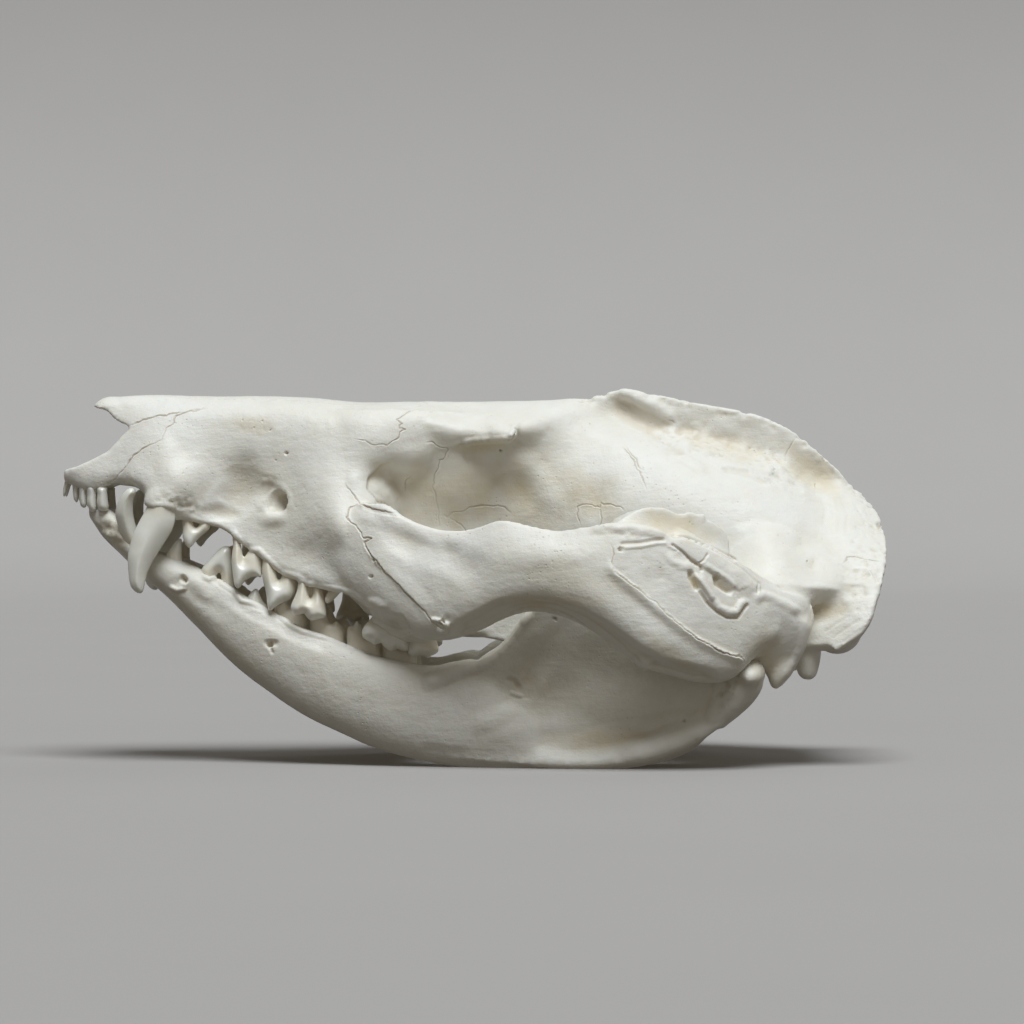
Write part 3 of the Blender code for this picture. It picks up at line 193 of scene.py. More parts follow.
# Opening of the nose in side view
NOSE_OPENING = [
    (-70.0, 43.4), (-61.6, 43.9), (-59.7, 44.3), (-57.5, 45.3), (-56.0, 46.1), (-54.9, 46.6), (-53.8, 47.8),
    (-52.6, 49.2), (-51.4, 50.2), (-52.8, 50.7), (-54.0, 51.4), (-54.8, 52.3), (-55.6, 52.9), (-57.4, 53.2),
    (-57.9, 60.0), (-70.0, 60.0),
]

# Tooth-bearing part of the jaw: x, middle y, top edge, bottom edge, half thickness
JAW_BODY = [
    [-57.9, -2.6, 39.2, 36.9, 1.6],
    [-56.2, -3.2, 38.3, 34.4, 2.4],
    [-53.0, -4.3, 35.6, 31.2, 3.4],
    [-49.0, -5.3, 32.0, 27.6, 4.2],
    [-45.0, -6.1, 30.9, 24.0, 4.0],
    [-41.0, -7.2, 29.2, 20.0, 3.6],
    [-36.0, -8.8, 26.4, 15.2, 3.4],
    [-31.0, -10.5, 23.4, 11.4, 3.4],
    [-26.0, -12.2, 21.0, 8.1, 3.4],
    [-20.0, -13.8, 18.6, 5.2, 3.5],
    [-14.0, -15.3, 16.5, 2.8, 3.6],
    [-8.0, -16.8, 15.4, 1.3, 3.4],
    [-2.0, -18.3, 14.6, 0.5, 3.0],
    [4.0, -19.4, 12.0, 0.1, 2.6],
    [9.0, -20.0, 8.0, 0.2, 1.8],
]

# Branch of the jaw: rows from the lower border up to the tip of the coronoid plate
JAW_BRANCH = [
    [(-9, -17.4, 2.9), (0, -18.9, 1.6), (8, -20.0, 0.9), (15, -20.8, 0.7),
     (22, -21.4, 1.3), (29, -21.8, 3.3), (36, -22.4, 7.3)],
    [(-9, -17.4, 7.0), (0, -18.9, 5.6), (8, -19.6, 5.0), (15, -20.2, 4.8),
     (22, -20.8, 5.4), (29, -21.4, 7.2), (36, -22.4, 10.2)],
    [(-7, -17.8, 12.0), (1, -19.2, 12.0), (9, -19.6, 12.0), (16, -20.0, 12.0),
     (22, -20.4, 12.5), (28.5, -21.0, 13.0), (34.5, -21.8, 13.8)],
    [(-3, -18.8, 15.4), (4, -20.2, 18.0), (11, -20.2, 18.6), (17, -20.2, 18.6),
     (22, -20.4, 18.6), (27, -20.6, 18.4), (32.4, -21.2, 18.2)],
    [(8.2, -21.2, 24.0), (12, -21.0, 24.6), (16, -20.6, 24.8), (20, -20.4, 25.0),
     (24, -20.4, 25.0), (28, -20.4, 24.6), (32.0, -20.6, 24.0)],
    [(14.2, -21.6, 30.6), (17, -21.4, 31.0), (20, -21.0, 31.2), (23, -20.6, 31.2),
     (26, -20.4, 31.0), (30, -20.2, 30.4), (34.2, -20.2, 29.6)],
    [(20.3, -21.6, 36.5), (22.0, -21.4, 37.4), (24.4, -21.0, 38.0), (27, -20.6, 37.9),
     (30, -20.2, 37.1), (33, -20.0, 36.2), (35.8, -20.0, 34.0)],
]
JAW_BRANCH_HALF = [
    [1.2, 1.8, 2.2, 2.3, 2.2, 2.0, 2.0],
    [1.6, 2.0, 1.6, 1.5, 1.4, 1.4, 1.8],
    [1.6, 1.6, 1.1, 1.0, 1.0, 1.0, 1.6],
    [1.8, 1.8, 1.0, 0.9, 0.9, 0.9, 1.3],
    [1.7, 1.3, 0.9, 0.85, 0.85, 0.85, 1.0],
    [1.4, 1.1, 0.85, 0.85, 0.85, 0.85, 0.9],
    [1.0, 0.9, 0.8, 0.8, 0.8, 0.8, 0.8],
]

# Shelf at the rear corner of the jaw, turned in towards the middle: x rows from outside to inside
JAW_CORNER = [
    [(12, -21.0, 1.5), (12, -19.2, 1.3), (12, -17.6, 1.4)],
    [(18, -21.6, 1.9), (18, -18.0, 1.5), (18, -15.4, 1.8)],
    [(24, -22.0, 2.8), (24, -17.0, 1.8), (24, -13.2, 2.1)],
    [(30, -22.2, 4.8), (30, -16.8, 3.2), (30, -12.2, 3.2)],
    [(34, -22.2, 7.4), (34.5, -17.4, 5.2), (34.5, -13.4, 5.0)],
    [(36.5, -21.6, 9.4), (36.5, -18.0, 7.2), (36.5, -15.2, 7.0)],
]

# Molars and lower front teeth: name, x, y, gum height, length along the row, width, crown height
UPPER_MOLARS = [
    ("M1", -24.4, -13.7, 27.0, 5.2, 3.9, 4.6),
    ("M2", -19.2, -15.0, 24.8, 5.2, 4.3, 4.4),
    ("M3", -14.2, -16.1, 21.8, 5.0, 4.6, 3.4),
    ("M4", -9.9, -16.5, 18.8, 3.6, 4.2, 2.2),
]
MISSING_TOOTH = "M2"
LOWER_INCISORS = [
    ("i1", -57.6, -1.2, 39.0, 1.0, 1.0, 2.4),
    ("i2", -57.3, -2.5, 38.8, 1.0, 1.0, 2.4),
    ("i3", -56.6, -3.6, 38.2, 1.0, 1.0, 2.4),
    ("i4", -55.7, -4.6, 37.6, 1.0, 1.0, 2.2),
]
LOWER_MOLARS = [
    ("m1", -27.2, -10.2, 21.4, 4.9, 2.7, 3.4),
    ("m2", -21.8, -11.5, 19.4, 5.0, 2.9, 3.4),
    ("m3", -16.4, -12.3, 17.6, 5.0, 2.9, 3.2),
    ("m4", -11.2, -12.9, 16.2, 4.6, 2.6, 2.8),
]


# Rim of the thin shell behind the top of the cheek arch, as the camera sees it, and half its thickness
LOBE_RIM = [
    (20.8, 36.0), (22.7, 37.3), (24.6, 38.2), (26.4, 38.4), (28.3, 38.1), (29.5, 37.5), (30.7, 37.3),
    (31.6, 37.6),
    (33.0, 37.3), (34.0, 37.3), (33.9, 36.2), (35.0, 36.2), (36.2, 35.4), (37.2, 34.4), (37.5, 33.2),
    (37.0, 32.2),
]
LOBE_HALF = (0.8, 0.5, 0.4)

# Outer face of the temple, to the crisp edge before the ear: rows from front to rear, from the top down
TEMPLE = [
    [(36.0, -28.8, 29.4), (36.0, -29.0, 25.0), (36.4, -27.4, 20.6), (36.8, -25.6, 17.2)],
    [(39.8, -26.4, 27.4), (40.0, -26.4, 23.6), (40.2, -24.6, 19.4), (40.6, -22.8, 15.8)],
    [(43.4, -23.6, 26.2), (43.8, -23.9, 22.4), (43.4, -22.4, 17.4), (42.7, -20.8, 12.7)],
    [(46.2, -21.2, 25.4), (46.8, -21.6, 22.0), (45.6, -21.2, 17.0), (43.8, -20.8, 12.2)],
    [(48.0, -19.6, 25.0), (48.6, -20.2, 22.0), (47.0, -20.2, 17.4), (44.8, -20.4, 13.2)],
]
TEMPLE_HALF = [[0.8, 1.6, 1.6, 0.8], [1.0, 2.1, 2.0, 0.9], [1.2, 2.2, 1.9, 0.8], [1.1, 1.6, 1.4, 0.6],
               [0.5, 0.6, 0.5, 0.3]]

# Floor of the hollow behind the ear, in the same way
MASTOID = [
    [(47.0, -15.0, 24.8), (47.2, -15.8, 21.4), (47.4, -16.6, 17.6)],
    [(51.0, -14.8, 24.8), (51.4, -16.4, 21.4), (50.8, -19.0, 17.8)],
    [(54.8, -15.6, 24.8), (54.8, -17.8, 21.4), (53.2, -20.0, 18.2)],
    [(58.0, -17.4, 25.0), (57.2, -19.2, 21.8), (55.2, -20.6, 19.0)],
]

# Wall of the eye socket below the brow: x, and places (y, z) from the top down
BROW_WALL = [
    (-23.0, [(-7.6, 52.8), (-9.0, 50.6), (-9.8, 48.6), (-10.3, 46.6), (-11.0, 45.0), (-11.2, 43.0)]),
    (-19.0, [(-9.2, 52.2), (-10.6, 50.4), (-11.4, 48.4), (-12.0, 46.5), (-12.6, 45.0), (-12.6, 43.0)]),
    (-15.5, [(-9.8, 52.2), (-11.1, 50.5), (-12.0, 48.6), (-12.2, 46.7), (-12.2, 45.2), (-11.4, 43.2)]),
    (-12.0, [(-9.6, 52.3), (-10.7, 50.6), (-11.3, 48.8), (-11.3, 46.9), (-10.6, 45.2), (-8.6, 43.4)]),
    (-8.0, [(-9.2, 52.3), (-10.2, 50.7), (-10.5, 48.9), (-10.1, 47.0), (-9.0, 45.2), (-7.4, 43.4)]),
    (-4.0, [(-8.2, 52.2), (-8.8, 50.6), (-8.6, 48.9), (-7.8, 47.0), (-7.0, 45.2), (-6.4, 43.4)]),
    (-1.0, [(-7.2, 52.0), (-7.6, 50.6), (-7.4, 48.9), (-6.8, 47.0), (-6.2, 45.2), (-5.8, 43.4)]),
]

# Slope above the ridge over the ear, rows from front to rear, each from the top down
EAR_SLOPE = [
    [(36.5, -11.0, 35.6), (36.8, -13.6, 31.4), (37.6, -18.4, 28.2), (39.4, -24.0, 26.6)],
    [(41.5, -11.5, 36.2), (42.0, -16.2, 31.8), (43.0, -19.6, 28.6), (44.0, -22.3, 26.6)],
    [(47.0, -11.0, 34.6), (47.5, -15.2, 30.4), (48.2, -17.9, 27.9), (49.0, -20.2, 26.3)],
    [(52.0, -10.0, 32.8), (52.4, -14.2, 29.4), (53.0, -16.6, 27.3), (54.0, -17.6, 25.9)],
    [(56.4, -8.8, 31.5), (56.6, -12.6, 28.8), (56.8, -14.6, 26.8), (57.0, -15.6, 25.8)],
]

# Seams between the bones: view, nearest and farthest distance from the midline, side, half width, depth, line
SEAMS = [
    ("side", 0, 14, None, 0.10, 0.15, [
        (-55.5, 41.8), (-54.2, 42.6), (-53.1, 43.9), (-52.3, 45.1), (-51.5, 46.1), (-49.8, 47.2),
        (-48.5, 47.8),
        (-47.5, 48.5), (-47.0, 49.4), (-46.5, 50.2), (-45.7, 50.9), (-45.3, 51.9), (-44.0, 52.5),
        (-42.3, 52.8),
        (-40.4, 53.1)]),
    ("side", 0, 14, None, 0.10, 0.15, [
        (-52.2, 50.4), (-50.6, 51.1), (-49.2, 51.7), (-47.6, 52.0), (-45.7, 52.5), (-44.0, 52.6)]),
    ("side", 0, 14, None, 0.08, 0.10, [
        (-18.8, 48.8), (-16.5, 48.0), (-15.1, 47.6), (-13.2, 47.9), (-12.5, 48.4),
        (-11.9, 48.8), (-11.6, 49.6), (-10.8, 50.0), (-11.7, 50.3), (-11.4, 51.0), (-11.9, 51.4),
        (-10.8, 52.4),
        (-9.1, 52.9)]),
    ("side", 10, 24, None, 0.09, 0.13, [
        (-20.0, 42.4), (-19.4, 41.2), (-18.8, 40.5), (-18.1, 39.6), (-17.5, 38.7), (-16.5, 38.4),
        (-15.3, 37.9),
        (-14.1, 37.6), (-12.5, 37.4)]),
    ("side", 10, 30, None, 0.10, 0.19, [
        (-17.5, 38.7), (-19.0, 38.3), (-19.6, 36.9), (-19.0, 36.2), (-18.2, 35.5), (-17.7, 34.7),
        (-17.2, 33.8),
        (-15.9, 33.7), (-17.0, 33.2), (-16.5, 31.9), (-15.7, 30.6), (-14.0, 28.7), (-11.8, 26.6),
        (-9.5, 24.2),
        (-8.0, 22.7), (-6.8, 21.1), (-5.8, 20.2), (-4.5, 19.8)]),
    ("side", 4, 13, None, 0.09, 0.14, [
        (-7.9, 48.1), (-6.9, 48.1), (-5.6, 47.5), (-4.4, 47.0), (-4.6, 46.3), (-5.1, 45.5), (-5.6, 45.4),
        (-5.8, 44.4), (-6.6, 42.6), (-6.7, 41.4), (-6.4, 39.9), (-5.9, 38.4), (-5.8, 36.9), (-5.8, 35.3)]),
    ("side", 4, 13, None, 0.09, 0.13, [
        (-5.8, 36.9), (-5.0, 37.1), (-4.3, 36.9), (-3.8, 37.5), (-1.3, 38.1), (1.0, 38.5), (2.8, 38.6),
        (4.1, 38.3),
        (5.3, 37.1)]),
    ("side", 4, 13, None, 0.08, 0.11, [(-4.3, 37.0), (-3.1, 36.0), (-2.5, 35.5), (-2.0, 35.0), (-1.0, 33.6)]),
    ("side", 5, 17, None, 0.08, 0.10, [
        (15.6, 35.5), (14.8, 36.9), (15.0, 38.3), (16.2, 38.6), (18.4, 38.4), (18.6, 39.0), (20.0, 38.8),
        (21.3, 38.3), (22.4, 37.6)]),
    ("side", 5, 17, None, 0.08, 0.09, [(18.4, 38.4), (18.7, 36.6), (18.3, 34.8)]),
    ("side", 3, 17, None, 0.09, 0.10, [
        (21.7, 47.5), (22.7, 46.4), (23.7, 44.8), (24.6, 43.0), (25.3, 40.9)]),
    ("side", 3, 17, None, 0.08, 0.09, [(22.3, 47.5), (23.4, 46.0), (24.4, 44.4), (25.2, 43.6)]),
    ("side", 24, 40, None, 0.10, 0.21, [
        (20.5, 29.1), (20.7, 28.6), (22.4, 27.4), (24.6, 25.7), (27.0, 23.8), (29.1, 21.8), (30.9, 20.2),
        (33.4, 18.4), (35.6, 17.1), (37.9, 16.2), (39.5, 15.9), (40.3, 15.1)]),
    ("side", 24, 40, None, 0.10, 0.16, [(20.0, 32.9), (20.5, 31.4), (20.1, 30.2), (20.5, 29.1)]),
    ("side", 0, 24, "left", 0.09, 0.15, [(47.6, 48.7), (47.1, 47.6), (46.3, 46.2), (46.1, 45.3)]),
    ("side", 0, 24, "left", 0.09, 0.15, [(44.6, 44.7), (44.4, 43.3)]),
    ("side", 0, 24, "left", 0.09, 0.13, [
        (54.6, 29.8), (55.5, 30.8), (56.7, 31.0), (58.3, 30.5), (59.8, 30.2), (60.7, 30.3)]),
    ("side", 0, 24, "left", 0.09, 0.11, [(59.5, 29.1), (59.0, 28.5), (59.6, 27.6), (59.5, 26.8)]),
    ("side", 0, 10, None, 0.13, 0.2, [(28.4, 51.5), (29.2, 51.2), (29.9, 50.7)]),
    ("top", 30, 70, None, 0.09, 0.15, [(x, -0.0 + 0.1 * math.sin(1.9 * x)) for x in np.arange(-57, 16, 0.7)]),
    ("top", 49, 60, None, 0.08, 0.11, [
        (-9.1, -8.2), (-8.2, -6.9), (-8.9, -5.9), (-7.4, -5.0), (-8.3, -3.9), (-6.9, -2.9), (-7.6, -1.8),
        (-6.2, 0)]),
    ("top", 49, 60, None, 0.08, 0.10, [
        (-44, -4.0), (-40, -4.3), (-36, -4.8), (-32, -5.4), (-28, -6.1), (-24, -6.9), (-20, -7.6),
        (-16, -8.2)]),
    ("under", 10, 45, None, 0.09, 0.15, [
        (x, 0.0 - 0.1 * abs(math.sin(1.7 * x))) for x in np.arange(-60, 2, 0.7)]),
    ("under", 10, 45, None, 0.08, 0.11, [
        (-16.0, 0), (-16.4, -2.6), (-15.4, -5.0), (-13.4, -6.6), (-11.4, -7.6), (-9.4, -9.4)]),
    ("under", 10, 30, None, 0.08, 0.11, [(30.0, 0), (30.3, -2.4), (29.7, -4.6), (30.2, -6.6)]),
]

# Small openings and pits: view, zone, side, radius, depth, then the places
PITS = [
    ("side", 0, 24, None, 0.30, 0.45, [(-28.8, 46.4), (-16.0, 28.0)]),
    ("side", 0, 24, None, 0.17, 0.12, [
        (-35.3, 51.5), (-33.5, 50.2), (-31.0, 49.9), (-30.2, 45.2), (-32.2, 51.2)]),
    ("side", 8, 30, None, 0.42, 0.7, [(-5.4, 21.1)]),
    ("side", 4, 13, None, 0.28, 0.5, [(3.6, 46.7)]),
    ("side", 24, 40, "left", 0.36, 0.6, [(21.4, 32.1)]),
    ("side", 0, 24, None, 0.18, 0.25, [(50.6, 41.6), (44.6, 44.0), (49.5, 30.2)]),
    ("rear", 40, 70, None, 0.35, 0.6, [(-4.4, 31.0), (-8.5, 22.0)]),
    ("top", 49, 60, None, 0.16, 0.2, [(-30.0, -3.4), (-22.0, -4.6), (-5.0, -4.0)]),
]

# Notches in the rear edge of the hindhead, in side view
NOTCHES = [(60.8, 35.7), (61.5, 30.9), (60.5, 26.2)]

# Broad hollows (positive) and swellings (negative): view, zone, side, centre, half sizes, tilt, depth
RELIEF = [
    ("side", 0, 24, None, (-34.5, 40.6), (5.0, 4.2), 10, 0.55),
    ("side", 0, 24, None, (-30.4, 36.6), (2.6, 1.4), 0, -0.2),
    ("side", 0, 24, None, (-45.0, 42.5), (3.2, 7.5), 20, -0.5),
    ("side", 0, 24, None, (-38.5, 37.6), (4.0, 1.6), -5, 0.4),
    ("side", 0, 24, None, (-23.0, 40.0), (4.5, 5.5), 0, -0.3),
    ("side", 0, 20, None, (51.5, 43.0), (7.5, 4.0), -32, 0.3),
    ("side", 10, 26, None, (51.6, 22.6), (5.0, 2.6), 10, 0.5),
    ("side", 4, 14, None, (-4.0, 41.0), (9.0, 6.0), 0, -0.9),
    ("side", 15, 40, None, (-10.0, 32.4), (6.0, 3.0), -35, 0.4),
    ("side", 15, 40, None, (10.0, 31.0), (9.0, 2.6), 0, -0.25),
    ("side", 24, 40, None, (27.0, 29.0), (7.0, 4.5), -40, 0.3),
    ("top", 44, 60, None, (-2.0, -6.0), (9.0, 3.0), 0, 0.25),
    ("rear", 40, 70, None, (-7.0, 29.0), (4.5, 4.0), 0, 0.4),
]
JAW_RELIEF = [
    ("through", 14, 32, None, (19.5, 13.0), (17.5, 9.5), 3, 1.0),
    ("through", 14, 32, None, (13.5, 14.5), (8.0, 8.0), 45, 0.5),
    ("side", 14, 32, None, (12.0, 9.5), (6.0, 4.5), 20, 0.35),
    ("side", 14, 32, None, (24.0, 5.0), (15.0, 2.0), 10, -0.4),
    ("side", 14, 32, None, (2.0, 6.6), (5.0, 2.2), 20, -0.3),
    ("side", 0, 20, None, (-40.0, 24.0), (7.0, 2.0), -35, 0.25),
]
JAW_PITS = [
    ("side", 4, 20, None, 0.55, 0.9, [(-44.0, 27.5)]),
    ("side", 4, 20, None, 0.45, 0.8, [(-31.2, 17.7)]),
    ("side", 12, 30, None, 0.28, 0.35, [(11.8, 21.4), (30.9, 6.35)]),
    ("inner", 14, 32, None, 0.6, 0.45, [(9.0, 13.5)]),
]

# Stains, and painted shade in the eye socket, under the brow ledge, in the temple, in the hollow behind the
# ear, under the cheek arch and on the inner and under faces: view, zone, side, centre, half sizes, tilt,
# strength
STAINS_AND_SHADE = [
    ("side", 0, 24, None, (-34.0, 50.6), (5.0, 2.2), -8, 0.7),
    ("side", 0, 20, None, (50.0, 43.8), (8.5, 3.2), -38, 0.8),
    ("side", 0, 20, None, (37.0, 47.5), (9.0, 2.6), -16, 0.6),
    ("side", 0, 24, None, (-33.0, 42.0), (4.0, 3.0), 0, 0.4),
    # Painted shade, the next four entries: eye socket, under the brow ledge, the band behind the socket and
    # the temple
    ("side", 4, 14, None, (0.0, 41.0), (15.0, 8.0), 0, 1.0),
    ("side", 2, 18, None, (1.0, 47.2), (6.0, 1.6), 4, 1.0),
    ("side", 4, 14, None, (7.0, 41.0), (3.4, 8.0), 26, 1.0),
    ("side", 4, 14, None, (17.0, 39.5), (8.0, 5.5), -10, 0.9),
    ("side", 18, 32, "left", (29.0, 35.8), (8.0, 3.0), -15, 1.0),
    ("side", 22, 40, None, (13.0, 27.5), (10.0, 4.0), -10, 0.35),
    ("side", 18, 40, None, (44.0, 16.0), (4.0, 6.5), 0, 0.9),
    # Painted shade: the hollow behind the ear, under its ledge
    ("side", 10, 26, None, (52.5, 22.8), (4.6, 1.8), 12, 1.0),
    ("side", 18, 40, "left", (32.5, 27.4), (1.2, 2.0), 20, 1.0),
    ("side", 18, 40, "left", (36.4, 26.8), (2.0, 1.2), -30, 0.8),
    # Painted shade, the next two entries: the under-face along the lower border of the cheek arch
    ("side", 22, 40, None, (10.0, 24.4), (12.0, 1.6), 0, 0.9),
    ("side", 22, 40, None, (28.0, 17.0), (9.0, 1.6), -35, 0.7),
    ("side", 14, 32, None, (17.0, 3.6), (10.0, 2.6), 3, 1.0),
    ("side", 0, 16, None, (-54.0, 34.0), (5.0, 3.0), -52, 0.7),
    ("side", 14, 32, None, (8.0, 12.0), (5.0, 6.0), 30, 0.45),
    # Painted shade, the next three entries: inner faces of the jaw and the undersides
    ("inner", 2, 22, None, (-30.0, 17.0), (36.0, 16.0), -24, 0.9),
    ("under", 8, 45, None, (-30.0, 0.0), (36.0, 18.0), 0, 0.7),
    ("under", 8, 45, None, (26.0, 0.0), (24.0, 12.0), 0, 0.5),
]

# Rough patches: view, zone, side, centre, half sizes, tilt, grain, height
ROUGH = [
    ("side", 0, 24, None, (-44.6, 38.9), (5.0, 1.9), -14, 0.7, 0.24),
    ("side", 0, 18, None, (32.5, 48.5), (9.0, 4.2), -18, 2.4, 0.45),
    ("side", 0, 18, None, (44.0, 44.5), (11.0, 4.0), -33, 1.8, 0.22),
    ("side", 0, 24, None, (-31.6, 38.2), (3.4, 1.6), 5, 0.8, 0.12),
    ("side", 22, 40, None, (22.0, 35.0), (7.0, 1.5), -2, 0.9, 0.16),
    ("side", 14, 34, None, (-5.2, 21.0), (2.0, 1.6), 0, 0.8, 0.25),
    ("side", 0, 26, None, (59.0, 29.0), (3.0, 4.0), 0, 1.2, 0.20),
    ("side", 0, 24, None, (-34.0, 50.6), (5.0, 1.6), -8, 0.8, 0.08),
    ("side", 24, 40, "left", (28.0, 29.0), (6.0, 5.0), -40, 1.1, 0.07),
]
JAW_ROUGH = [
    ("side", 0, 16, None, (-55.0, 34.6), (4.2, 2.2), -52, 1.1, 0.32),
    ("side", 12, 34, None, (37.6, 11.5), (4.5, 3.0), 50, 1.3, 0.35),
    ("side", 10, 32, None, (8.0, 12.0), (6.0, 6.0), 0, 1.6, 0.10),
    ("side", 10, 32, None, (24.0, 12.0), (10.0, 6.0), 0, 2.0, 0.07),
]

